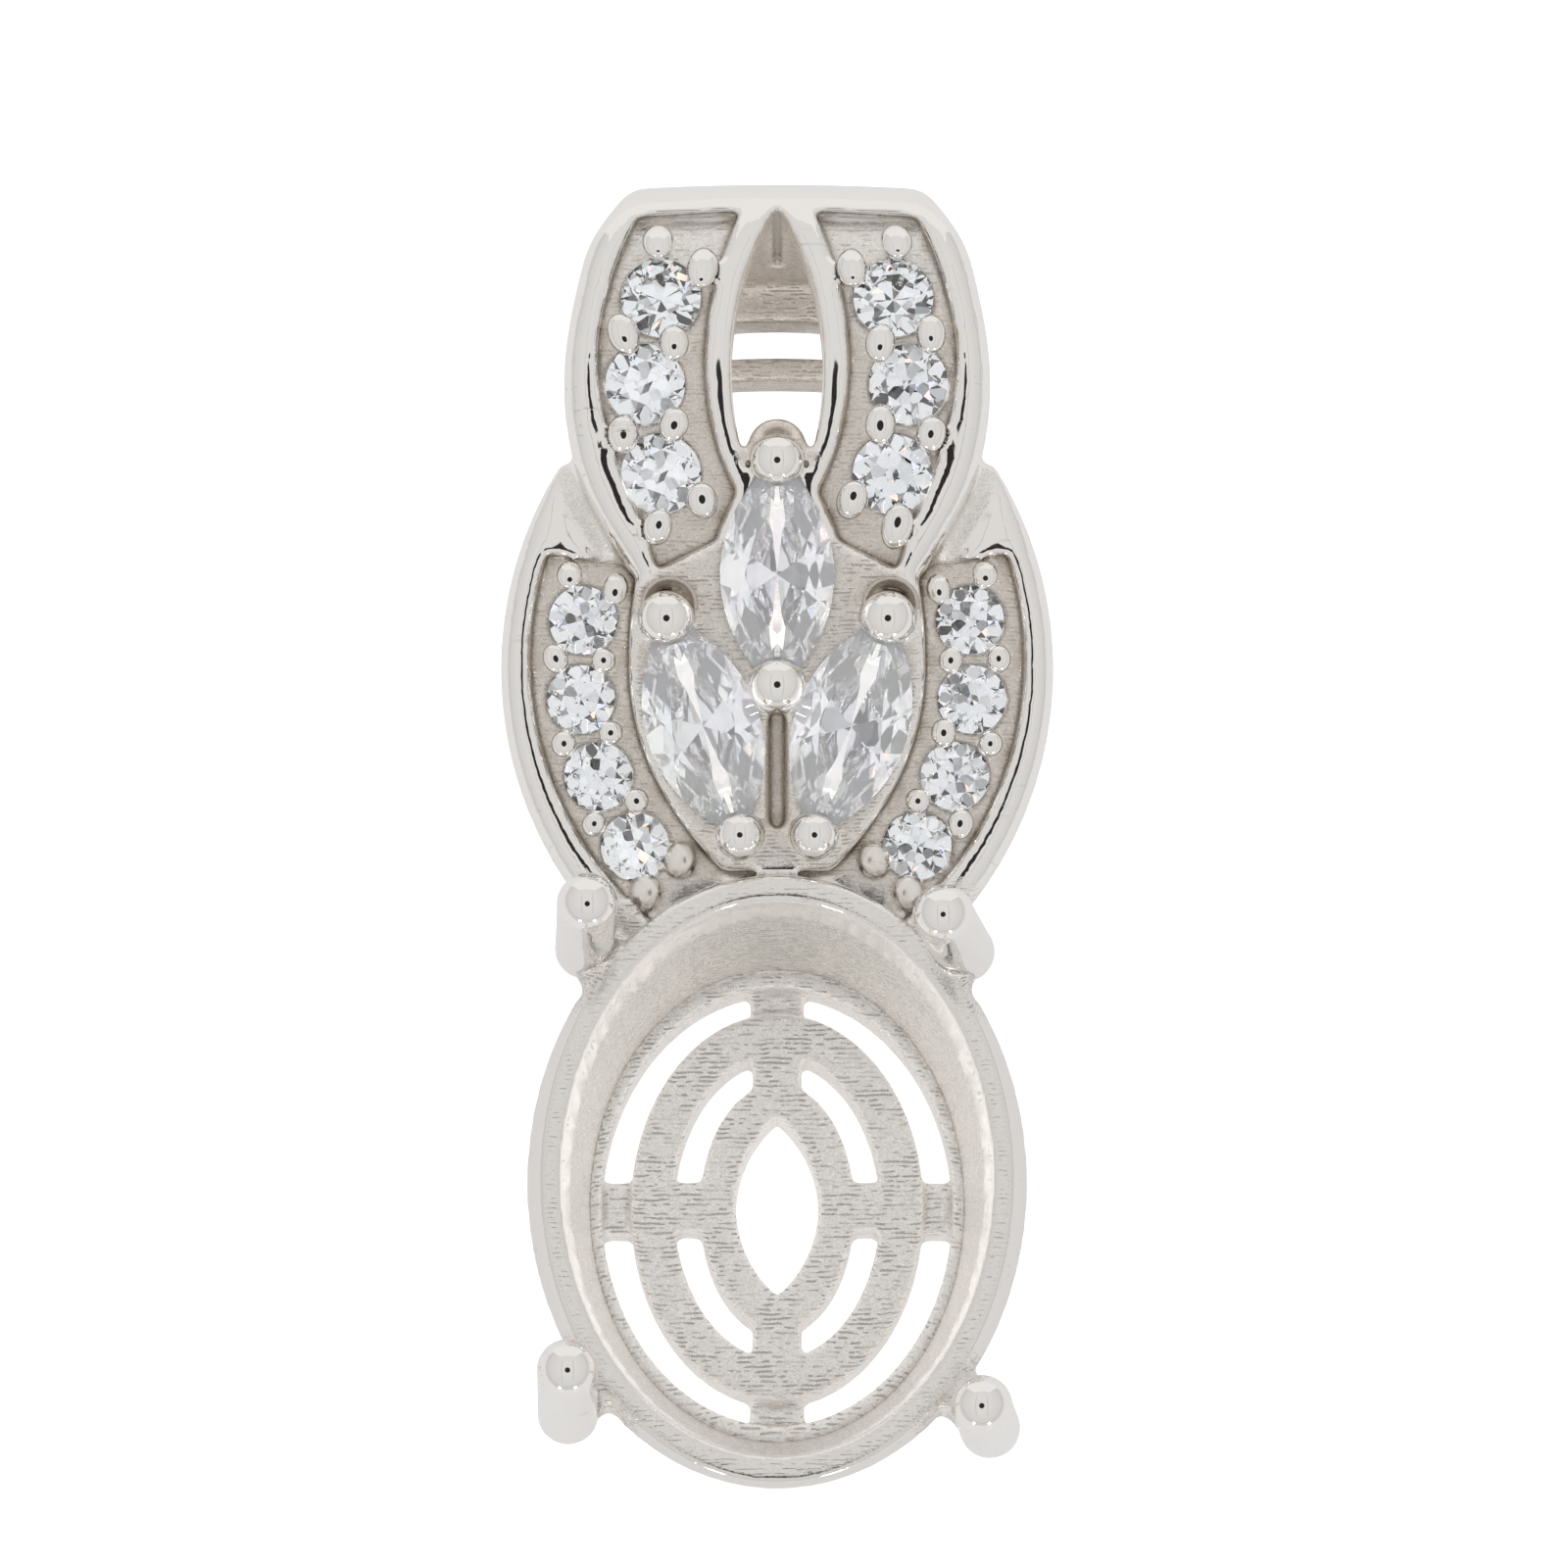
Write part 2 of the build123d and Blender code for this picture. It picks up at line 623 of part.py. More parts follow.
def post(radius, foot, top):
    """Upright round wire between two ball ends, round the Z axis."""
    bulge = radius * sin(radians(45))
    with BuildPart() as wire:
        with BuildSketch(Plane.XZ):
            with BuildLine():
                ThreePointArc(
                    (0, foot - radius), (bulge, foot - bulge), (radius, foot)
                )
                Line((radius, foot), (radius, top))
                ThreePointArc((radius, top), (bulge, top + bulge), (0, top + radius))
                Line((0, top + radius), (0, foot - radius))
            make_face()
        revolve(axis=Axis.Z)
    return wire.part


def round_envelope(diameter, hole_depth):
    """Space of a round stone with its clearance, and the hole behind it."""
    edge = diameter / 2 + CLEARANCE
    hole = diameter / 2 * CULET_HOLE
    slope = 2 * ROUND_PAVILION
    crown = diameter * ROUND_CROWN + GIRDLE + 2 * CLEARANCE
    with BuildPart() as envelope:
        with BuildSketch(Plane.XZ):
            with BuildLine():
                Polyline(
                    (0, -hole_depth),
                    (hole, -hole_depth),
                    (hole, -slope * (edge - hole) - CLEARANCE),
                    (edge, -CLEARANCE),
                    (edge, GIRDLE + CLEARANCE),
                    (edge * TABLE_SHARE, crown),
                    (0, crown),
                    close=True,
                )
            make_face()
        revolve(axis=Axis.Z)
    return envelope.part


def marquise_envelope(clearance, hole_depth):
    """Space of a marquise stone with its clearance, and the opening behind it."""
    length = MARQUISE_LENGTH + 2 * clearance
    width = MARQUISE_WIDTH + 2 * clearance
    drop = 2 * clearance
    depth = MARQUISE_WIDTH * MARQUISE_PAVILION * (1 - MARQUISE_HOLE)
    crown = MARQUISE_WIDTH * MARQUISE_CROWN + GIRDLE + 2 * clearance
    hole_length = length * MARQUISE_HOLE
    hole_width = width * MARQUISE_HOLE
    with BuildPart() as envelope:
        loft(
            sections=[
                marquise_sketch(Plane.XY.offset(-drop - depth), hole_length, hole_width),
                marquise_sketch(Plane.XY.offset(-drop), length, width),
                marquise_sketch(Plane.XY.offset(GIRDLE + clearance), length, width),
                marquise_sketch(
                    Plane.XY.offset(crown), length * TABLE_SHARE, width * TABLE_SHARE
                ),
            ],
            ruled=True,
        )
        extrude(
            marquise_sketch(Plane.XY.offset(-drop - depth), hole_length, hole_width),
            amount=-hole_depth + drop + depth,
        )
    return envelope.part


def edge_distance(length, width, direction):
    """Distance from the middle of a stone to its edge line square to direction."""
    radius = (length**2 + width**2) / (4 * width)
    if abs(sin(direction)) < length / 2 / radius:
        return radius - (radius - width / 2) * abs(cos(direction))
    return length / 2 * abs(sin(direction))


def facet_direction(length, width, turn):
    """Direction that a facet faces; a pointed outline keeps a facet for its point."""
    if length == width:
        return radians(turn)
    half_arc = asin(2 * length * width / (length**2 + width**2))
    from_side = min(turn % 180, 180 - turn % 180)
    folded = radians(90) if from_side > 80 else half_arc * from_side / 78.75
    right = 1 if turn < 90 or turn > 270 else -1
    forward = 1 if turn < 180 else -1
    return atan2(forward * sin(folded), right * cos(folded))


def facet_planes(length, width, crown, pavilion):
    """Planes of a brilliant's facets, each facing outwards."""
    # Count, first turn, up or down, and two points: share of the way out, and height
    facets = [
        (8, 0.0, 1, 1.0, GIRDLE, TABLE_SHARE, GIRDLE + crown),
        (16, 11.25, 1, 1.0, GIRDLE, 0.8, GIRDLE + 0.56 * crown),
        (8, 22.5, 1, TABLE_SHARE * 0.925, GIRDLE + crown, 0.8, GIRDLE + 0.63 * crown),
        (8, 0.0, -1, 1.0, 0.0, 0.0, -pavilion),
        (16, 11.25, -1, 1.0, 0.0, 0.2, -0.84 * pavilion),
    ]
    planes = []
    for count, first, upward, share_a, height_a, share_b, height_b in facets:
        for i in range(count):
            direction = facet_direction(length, width, first + i * 360 / count)
            reach = edge_distance(length, width, direction)
            out = abs(height_b - height_a)
            up = abs(share_b - share_a) * reach * upward
            planes.append(
                Plane(
                    origin=(
                        share_a * reach * cos(direction),
                        share_a * reach * sin(direction),
                        height_a,
                    ),
                    z_dir=(out * cos(direction), out * sin(direction), up),
                )
            )
    return planes


def brilliant(length, width, crown_share, pavilion_share):
    """Faceted stone with the foot of its girdle on the ground plane."""
    crown = width * crown_share
    pavilion = width * pavilion_share
    with BuildPart() as stone:
        extrude(
            marquise_sketch(Plane.XY.offset(-pavilion), length, width),
            amount=pavilion + GIRDLE + crown,
        )
        for facet in facet_planes(length, width, crown, pavilion):
            split(bisect_by=facet, keep=Keep.BOTTOM)
    return stone.part


upper_round = brilliant(UPPER_ROUND, UPPER_ROUND, ROUND_CROWN, ROUND_PAVILION)
lower_round = brilliant(LOWER_ROUND, LOWER_ROUND, ROUND_CROWN, ROUND_PAVILION)
marquise = brilliant(
    MARQUISE_LENGTH, MARQUISE_WIDTH, MARQUISE_CROWN, MARQUISE_PAVILION
)

# Marquise prongs: across, along the face plane, radius. The shared prong stands a
# little above the upper stone's lower point.
tip_reach = MARQUISE_LENGTH / 2
low_across = tip_reach * sin(low_turn)
low_along = tip_reach * cos(low_turn)
marquise_prongs = [
    (0, TREFOIL_HIGH + tip_reach, TIP_PRONG),
    (0, TREFOIL_HIGH - tip_reach + SHARED_PRONG_RAISE, SHARED_PRONG),
]
for side in (-1, 1):
    marquise_prongs.append(
        (
            side * (TREFOIL_SPREAD + low_across),
            TREFOIL_LOW + low_along,
            SIDE_PRONG,
        )
    )
    marquise_prongs.append(
        (
            side * (TREFOIL_SPREAD - low_across),
            TREFOIL_LOW - low_along,
            FOOT_PRONG,
        )
    )

# Basket prongs: foot and tip
basket_pins = []
for foot_across, foot_along, tip_across, tip_along in BASKET_PRONGS:
    basket_pins.append(
        (
            Vector(
                foot_across * rim_x,
                basket_y + foot_along * rim_y,
                BASKET_HEIGHT - PRONG_FOOT_DROP,
            ),
            Vector(
                tip_across * rim_x,
                basket_y + tip_along * rim_y,
                BASKET_HEIGHT + PRONG_TIP_RISE,
            ),
        )
    )
basket_wires = [
    (post(PRONG_RADIUS, 0, (tip - foot).length), Plane(origin=foot, z_dir=tip - foot))
    for foot, tip in basket_pins
]
upper_bead = pin(UPPER_BEAD, UPPER_STEM, -BEAD_FOOT, BEAD_RISE)
lower_bead = pin(LOWER_BEAD, LOWER_STEM, -BEAD_FOOT, BEAD_RISE)
upper_seat = round_envelope(UPPER_ROUND, BAIL_WALL + SHIELD_THICKNESS)
lower_seat = round_envelope(LOWER_ROUND, 2 * SHIELD_THICKNESS)
marquise_seat = marquise_envelope(CLEARANCE, 2 * PLATE_THICKNESS)
prong_notch = marquise_envelope(2 * CLEARANCE, PLATE_THICKNESS)

# The prongs of the trefoil are notched over the stones' points
with BuildPart() as trefoil_prongs:
    for across, along, radius in marquise_prongs:
        root = FACE.from_local_coords(Vector(across, along, -PLATE_SET_BACK))
        with Locations(Plane(origin=root, x_dir=FACE.x_dir, z_dir=FACE.z_dir)):
            add(post(radius, radius - PLATE_THICKNESS / 2, MARQUISE_PRONG_RISE))
    with Locations(*marquise_planes.values()):
        add(prong_notch, mode=Mode.SUBTRACT)

# Cups behind the outer prongs of the trefoil, just past the stones' points
cup_reach = tip_reach + CUP_PAST_TIP
cups = [(0, TREFOIL_HIGH + cup_reach)]
for side in (-1, 1):
    cups.append(
        (
            side * (TREFOIL_SPREAD + cup_reach * sin(low_turn)),
            TREFOIL_LOW + cup_reach * cos(low_turn),
        )
    )

round_seats = [
    (stone_seat, floor.offset(ROUND_SEAT))
    for stone_seat, floors in (
        (upper_seat, upper_stones.values()),
        (lower_seat, lower_stones.values()),
    )
    for floor in floors
]

with BuildPart() as silver_mount:
    add(basket.part)
    add(shield.part)
    add(bail.part)
    add(plate.part)
    with BuildSketch(FACE.offset(-PLATE_SET_BACK)) as cup_walls:
        with Locations(cups[0]):
            Circle(CUP_RADIUS + CUP_WALL)
    extrude(amount=-PLATE_THICKNESS)
    with BuildSketch(Plane.XY.offset(BASKET_HEIGHT - PRONG_FOOT_DROP)) as arms:
        for foot, tip in basket_pins:
            outer = Vector(foot.X, foot.Y)
            middle = Vector(0, basket_y)
            SlotCenterPoint(
                center=middle + (outer - middle) * (1 - ARM_REACH / 2),
                point=outer,
                height=2 * ARM_RADIUS,
            )
    extrude(amount=ARM_HEIGHT / 2, both=True)
    # Hollows
    add(bore.part, mode=Mode.SUBTRACT)
    add(floor_cuts.part, mode=Mode.SUBTRACT)
    with BuildSketch(FACE.offset(-PLATE_SET_BACK)) as groove:
        with Locations((0, TREFOIL_LOW - GROOVE_WIDTH)):
            SlotOverall(2 * low_along - 2 * FOOT_PRONG, GROOVE_WIDTH, rotation=90)
    extrude(amount=-GROOVE_DEPTH, mode=Mode.SUBTRACT)
    with BuildSketch(FACE) as cup_mouths:
        with Locations(*cups):
            Circle(CUP_RADIUS)
    extrude(amount=-CUP_DEPTH, taper=CUP_TAPER, mode=Mode.SUBTRACT)
    for stone_seat, place in round_seats:
        with Locations(place):
            add(stone_seat, mode=Mode.SUBTRACT)
    for place in marquise_planes.values():
        with Locations(place):
            add(marquise_seat, mode=Mode.SUBTRACT)
    # Beads and prongs
    with Locations(*upper_beads):
        add(upper_bead)
    with Locations(*lower_beads):
        add(lower_bead)
    add(trefoil_prongs.part)
    for wire, stand in basket_wires:
        with Locations(stand):
            add(wire)

silver_mount.part.label = "silver_mount"
export_step(silver_mount.part, "parts/silver_mount.step")


def write_stone(name, cut_stone, place):
    """One set stone, written under its own name."""
    with BuildPart() as stone:
        with Locations(place):
            add(cut_stone)
    stone.part.label = name
    export_step(stone.part, f"parts/{name}.step")


for name, floor in upper_stones.items():
    write_stone(f"bail_stone_{name}", upper_round, floor.offset(ROUND_SEAT))
for name, floor in lower_stones.items():
    write_stone(f"shield_stone_{name}", lower_round, floor.offset(ROUND_SEAT))
for name, place in marquise_planes.items():
    write_stone(f"marquise_stone_{name}", marquise, place)
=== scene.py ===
"""Pendant setting of cast silver: a chain bail, a shield with set stones and an empty
oval basket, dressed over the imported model. Lengths in the helpers are millimetres."""

import math

import bmesh
import bpy
import numpy as np
from bpy.props import FloatProperty, FloatVectorProperty, IntProperty, PointerProperty
from mathutils import Matrix, Vector, kdtree


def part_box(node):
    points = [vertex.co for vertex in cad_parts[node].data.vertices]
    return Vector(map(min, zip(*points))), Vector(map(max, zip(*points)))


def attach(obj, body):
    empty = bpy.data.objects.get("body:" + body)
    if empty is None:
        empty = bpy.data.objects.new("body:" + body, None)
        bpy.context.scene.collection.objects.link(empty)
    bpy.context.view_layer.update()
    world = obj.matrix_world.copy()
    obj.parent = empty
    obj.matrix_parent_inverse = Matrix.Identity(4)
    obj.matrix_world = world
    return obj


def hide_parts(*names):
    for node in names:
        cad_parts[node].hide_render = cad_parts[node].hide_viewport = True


bl_info = {
    "name": "Pendant setting",
    "version": (1, 0, 0),
    "blender": (4, 5, 0),
    "location": "View3D > Sidebar > Setting",
    "description": "Cast metal, beads, prongs and stones of a pendant setting",
    "category": "Object",
}

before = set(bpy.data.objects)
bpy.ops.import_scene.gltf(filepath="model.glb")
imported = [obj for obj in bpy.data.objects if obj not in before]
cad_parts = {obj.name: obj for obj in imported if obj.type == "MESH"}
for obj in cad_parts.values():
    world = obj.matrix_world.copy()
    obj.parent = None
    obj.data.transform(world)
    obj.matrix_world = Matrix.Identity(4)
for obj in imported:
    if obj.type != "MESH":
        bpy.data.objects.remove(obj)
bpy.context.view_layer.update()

MM = 0.001
ROOT = "root"
CASTING = "silver_mount"
BAIL_STONES = [f"bail_stone_{s}_{i}" for s in ("left", "right") for i in (1, 2, 3)]
SHIELD_STONES = [f"shield_stone_{s}_{i}" for s in ("left", "right") for i in (1, 2, 3, 4)]
MARQUISES = [f"marquise_stone_{s}" for s in ("top", "left", "right")]

# The setting's own sizes, as in the model
BASKET_Y = -6.137
BASKET_TOP = 3.6
RIM_X, RIM_Y = 4.1, 5.4
BORE_X, BORE_Y = 3.77, 4.93
FACE_TILT = math.radians(13.0)
FACE_START = BASKET_Y + RIM_Y
FACE_RISE = BASKET_TOP - 0.29
BEND_START = 10.9 - 6.7 * math.sin(math.radians(20.0))
BEND_RADIUS = 8.0
OPENING_RADIUS = (5.86**2 + 1.6**2) / (4 * 1.6)
OPENING_Y = FACE_START + 8.95 * math.cos(FACE_TILT)
SHIELD_X, SHIELD_RADIUS, SHIELD_ALONG = 4.86, 6.68, 3.63
RECESS_RADIUS, RECESS_ALONG, RIM_WIDTH = 6.0, 3.8, 0.52
SHIELD_DEPTH, ROW_DEPTH = 0.4, 0.35
BAIL_STONE, SHIELD_STONE, STONE_GAP = 1.4, 1.2, 0.19
BAIL_ROW_RADIUS, BAIL_ROW_X, BAIL_ROW_ALONG = 4.51, 2.32, 8.63
SHIELD_ROW_RADIUS, SHIELD_START = 5.29, math.radians(9.5)
PICTURE_CENTRE = (0.12, 1.694, 0.0)
SENSOR_WIDTH, LENS_LENGTH = 36.0, 283.6
SKY_RADIUS = 0.3  # metres
BRUSH_ROW = 0.085  # between two rows of brush marks
# Outer and inner half widths of the bail's rows: places along the face, then across
ROW_OUTER = [5.37, 6.26, 7.65, 8.86, 10.42, 11.63], [2.12, 2.41, 2.92, 3.15, 2.92, 2.46]
ROW_INNER = (
    [5.37, 5.93, 6.18, 6.74, 7.82, 9.03, 10.59, 11.70],
    [2.12, 1.003, 0.95, 0.71, 1.12, 1.26, 1.04, 0.64],
)
# Foot and tip of each basket prong, as shares of the rim's half width and length
BASKET_PRONGS = [
    (-0.82, 0.775, -0.80, 0.805),
    (0.80, 0.765, 0.70, 0.77),
    (-0.885, -0.755, -0.875, -0.71),
    (0.90, -0.80, 0.855, -0.825),
]
MARQUISE_TURN = math.radians(18.7)
MARQUISE_X, MARQUISE_ALONG, MARQUISE_HALF = 1.295, 2.63, 2.0
BEAD_RISE = 0.3
SMALLEST_RADIUS = 1e-6


def trefoil_places():
    """Across, along and radius of the prongs over the points of the marquise stones."""
    places = [(0.0, 7.29, 0.465), (0.0, 3.36, 0.495)]
    for side in (-1, 1):
        for end, radius in ((MARQUISE_HALF, 0.485), (-MARQUISE_HALF, 0.415)):
            across = side * (MARQUISE_X + end * math.sin(MARQUISE_TURN))
            places.append((across, MARQUISE_ALONG + end * math.cos(MARQUISE_TURN), radius))
    return places


TREFOIL_PRONGS = trefoil_places()


# Numbers that a user would change


class SettingSizes(bpy.types.PropertyGroup):
    """Sizes of the casting's surface, its beads and its prongs"""

    cell: FloatProperty(
        name="Surface cell",
        description="Width of the cells that the casting's surface is rebuilt from",
        default=0.05 * MM,
        unit="LENGTH",
    )
    triangles: IntProperty(
        name="Casting triangles",
        description="Most triangles that the casting keeps",
        default=190000,
    )
    wear: IntProperty(
        name="Polishing passes",
        description="How far polishing has rounded the edges of bail and shield",
        default=44,
    )
    bail_bead: FloatProperty(
        name="Bail bead",
        description="Radius of the beads that hold the bail's stones",
        default=0.275 * MM,
        unit="LENGTH",
    )
    shield_bead: FloatProperty(
        name="Shield bead",
        description="Radius of the beads that hold the shield's stones",
        default=0.225 * MM,
        unit="LENGTH",
    )
    basket_prong: FloatProperty(
        name="Basket prong",
        description="Radius of the four basket prongs",
        default=0.53 * MM,
        unit="LENGTH",
    )


class SettingFinish(bpy.types.PropertyGroup):
    """Colours and finish of the silver and the stones"""

    silver: FloatVectorProperty(
        name="Polished silver",
        description="Colour of the polished metal",
        subtype="COLOR",
        default=(0.935, 0.915, 0.89),
        size=3,
    )
    satin: FloatVectorProperty(
        name="Satin silver",
        description="Colour of the unpolished floors",
        subtype="COLOR",
        default=(0.88, 0.825, 0.765),
        size=3,
    )
    polish: FloatProperty(
        name="Polish roughness",
        description="Roughness of the polished metal",
        default=0.06,
    )
    stone: FloatVectorProperty(
        name="Stone",
        description="Colour of the cut stones",
        subtype="COLOR",
        default=(0.975, 0.985, 1.0),
        size=3,
    )
    stone_index: FloatProperty(
        name="Stone index",
        description="Refractive index of the cut stones",
        default=2.15,
    )


class SettingStage(bpy.types.PropertyGroup):
    """Camera, tent and floor"""

    distance: FloatProperty(
        name="Camera distance",
        description="From the camera to the setting",
        default=220 * MM,
        unit="LENGTH",
    )
    tent: FloatProperty(
        name="Tent brightness",
        description="Brightness of the light tent round the setting",
        default=0.70,
    )
    floor: FloatVectorProperty(
        name="Floor",
        description="Colour of the light floor",
        subtype="COLOR",
        default=(0.92, 0.92, 0.93),
        size=3,
    )
    lens: FloatProperty(
        name="Lens",
        description="Radius of the dark lens that the polished metal mirrors",
        default=40 * MM,
        unit="LENGTH",
    )


def sizes():
    return bpy.context.scene.setting_sizes


def finish():
    return bpy.context.scene.setting_finish


def stage():
    return bpy.context.scene.setting_stage


# Places on the tilted face


def face_coordinates(points):
    """Along the face and depth below it, the upper part unrolled with its bend."""
    y = points[:, 1] - FACE_START
    z = points[:, 2] - FACE_RISE
    along = y * math.cos(FACE_TILT) + z * math.sin(FACE_TILT)
    depth = y * math.sin(FACE_TILT) - z * math.cos(FACE_TILT)
    bent = along > BEND_START
    out = along - BEND_START
    reach = np.hypot(out, BEND_RADIUS - depth)
    turn = np.arctan2(out, BEND_RADIUS - depth)
    depth = np.where(bent, BEND_RADIUS - reach, depth)
    along = np.where(bent, BEND_START + BEND_RADIUS * np.sin(turn), along)
    return along, depth, np.where(bent, turn, 0.0)


def face_normals(turn):
    """The face's own normal at each point."""
    lean = FACE_TILT - turn
    return np.stack([np.zeros_like(lean), -np.sin(lean), np.cos(lean)], axis=1)


def face_matrix(across, along, depth):
    """Place on the face: X across, Z out of the metal."""
    turn = 0.0
    if along > BEND_START:
        turn = math.asin((along - BEND_START) / BEND_RADIUS)
    sag = BEND_RADIUS * (1 - math.cos(turn))
    lean = FACE_TILT - turn
    y = FACE_START + along * math.cos(FACE_TILT) + sag * math.sin(FACE_TILT)
    z = FACE_RISE + along * math.sin(FACE_TILT) - sag * math.cos(FACE_TILT)
    out = Vector((0, -math.sin(lean), math.cos(lean)))
    spot = Vector((across, y, z)) - out * depth
    return Matrix.Translation(spot) @ Matrix.Rotation(lean, 4, "X")


def ramp(values, low, high):
    """0 below low, 1 above high, smooth between."""
    share = np.clip((values - low) / (high - low), 0, 1)
    return share * share * (3 - 2 * share)


def prong_line(row):
    """Foot and ball centre of a basket prong, in millimetres."""
    foot_x, foot_y, tip_x, tip_y = row
    foot = Vector((foot_x * RIM_X, BASKET_Y + foot_y * RIM_Y, BASKET_TOP - 0.62))
    tip = Vector((tip_x * RIM_X, BASKET_Y + tip_y * RIM_Y, BASKET_TOP + 2.3))
    return foot, tip


def rim_share(points):
    """Distance from the basket's middle, in shares of its rim."""
    return np.hypot(points[:, 0] / RIM_X, (points[:, 1] - BASKET_Y) / RIM_Y)


def from_line(points, start, end):
    """Nearest spots on a line between two points, and distances to them."""
    start, way = np.array(start), np.array(end) - np.array(start)
    share = np.clip((points - start) @ way / (way @ way), 0, 1)
    spots = start + share[:, None] * way
    return spots, np.linalg.norm(points - spots, axis=1)


# Meshes


def object_from(name, mesh, matrix=None):
    thing = bpy.data.objects.new(name, mesh)
    bpy.context.scene.collection.objects.link(thing)
    if matrix is not None:
        thing.matrix_world = matrix
    return thing


def mesh_points(mesh):
    points = np.zeros(len(mesh.vertices) * 3)
    mesh.vertices.foreach_get("co", points)
    return points.reshape(-1, 3)


def mesh_normals(mesh):
    normals = np.zeros(len(mesh.vertices) * 3)
    mesh.vertex_normals.foreach_get("vector", normals)
    return normals.reshape(-1, 3)


def set_points(mesh, points):
    mesh.vertices.foreach_set("co", points.astype(np.float32).ravel())
    mesh.update()


def with_modifier(thing, kind, **settings):
    """The object's mesh after one modifier."""
    modifier = thing.modifiers.new(kind.title(), kind)
    for key, value in settings.items():
        setattr(modifier, key, value)
    view = bpy.context.evaluated_depsgraph_get()
    mesh = bpy.data.meshes.new_from_object(thing.evaluated_get(view))
    thing.modifiers.clear()
    old = thing.data
    thing.data = mesh
    bpy.data.meshes.remove(old)
    return mesh


class Neighbours:
    """Means over the points next to each point."""

    def __init__(self, mesh):
        pairs = np.zeros(len(mesh.edges) * 2, np.int32)
        mesh.edges.foreach_get("vertices", pairs)
        self.first, self.second = pairs.reshape(-1, 2).T
        self.count = len(mesh.vertices)
        both = np.concatenate([self.first, self.second])
        self.share = np.maximum(np.bincount(both, minlength=self.count), 1)

    def mean(self, values):
        columns = []
        for column in values.reshape(self.count, -1).T:
            total = np.bincount(self.first, column[self.second], self.count)
            total += np.bincount(self.second, column[self.first], self.count)
            columns.append(total / self.share)
        return np.stack(columns, axis=1).reshape(values.shape)


def mesh_from(name, skin, material):
    mesh = bpy.data.meshes.new(name)
    skin.to_mesh(mesh)
    skin.free()
    mesh.materials.append(material)
    return mesh


def add_attribute(mesh, name, values):
    layer = mesh.attributes.new(name, "FLOAT", "POINT")
    layer.data.foreach_set("value", values.astype(np.float32))


def revolved(profile, steps):
    """Closed skin round the Z axis from (radius, height) pairs, the ends at radius 0."""
    skin = bmesh.new()
    rings = []
    for radius, height in profile:
        count = 1 if radius < SMALLEST_RADIUS else steps
        angles = [2 * math.pi * i / steps for i in range(count)]
        spots = [(radius * math.cos(turn), radius * math.sin(turn), height) for turn in angles]
        rings.append([skin.verts.new(spot) for spot in spots])
    for low, high in zip(rings, rings[1:]):
        for i in range(steps):
            j = (i + 1) % steps
            around = [ring[k % len(ring)] for ring, k in ((low, i), (low, j), (high, j), (high, i))]
            skin.faces.new(list(dict.fromkeys(around)))
    bmesh.ops.recalc_face_normals(skin, faces=skin.faces)
    return skin


def moved(skin, place):
    bmesh.ops.transform(skin, matrix=place, verts=skin.verts)
    return skin


def joined(name, skins, material):
    """One smooth piece in metres from skins in millimetres."""
    whole = bmesh.new()
    for skin in skins:
        passing = bpy.data.meshes.new("passing")
        skin.to_mesh(passing)
        skin.free()
        whole.from_mesh(passing)
        bpy.data.meshes.remove(passing)
    bmesh.ops.scale(whole, vec=(MM, MM, MM), verts=whole.verts)
    for face in whole.faces:
        face.smooth = True
    piece = object_from(name, mesh_from(name, whole, material))
    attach(piece, ROOT)
    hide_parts(CASTING)
    return piece


# Shader nodes


COLOUR_SOCKETS = ("Colour", "Dark")


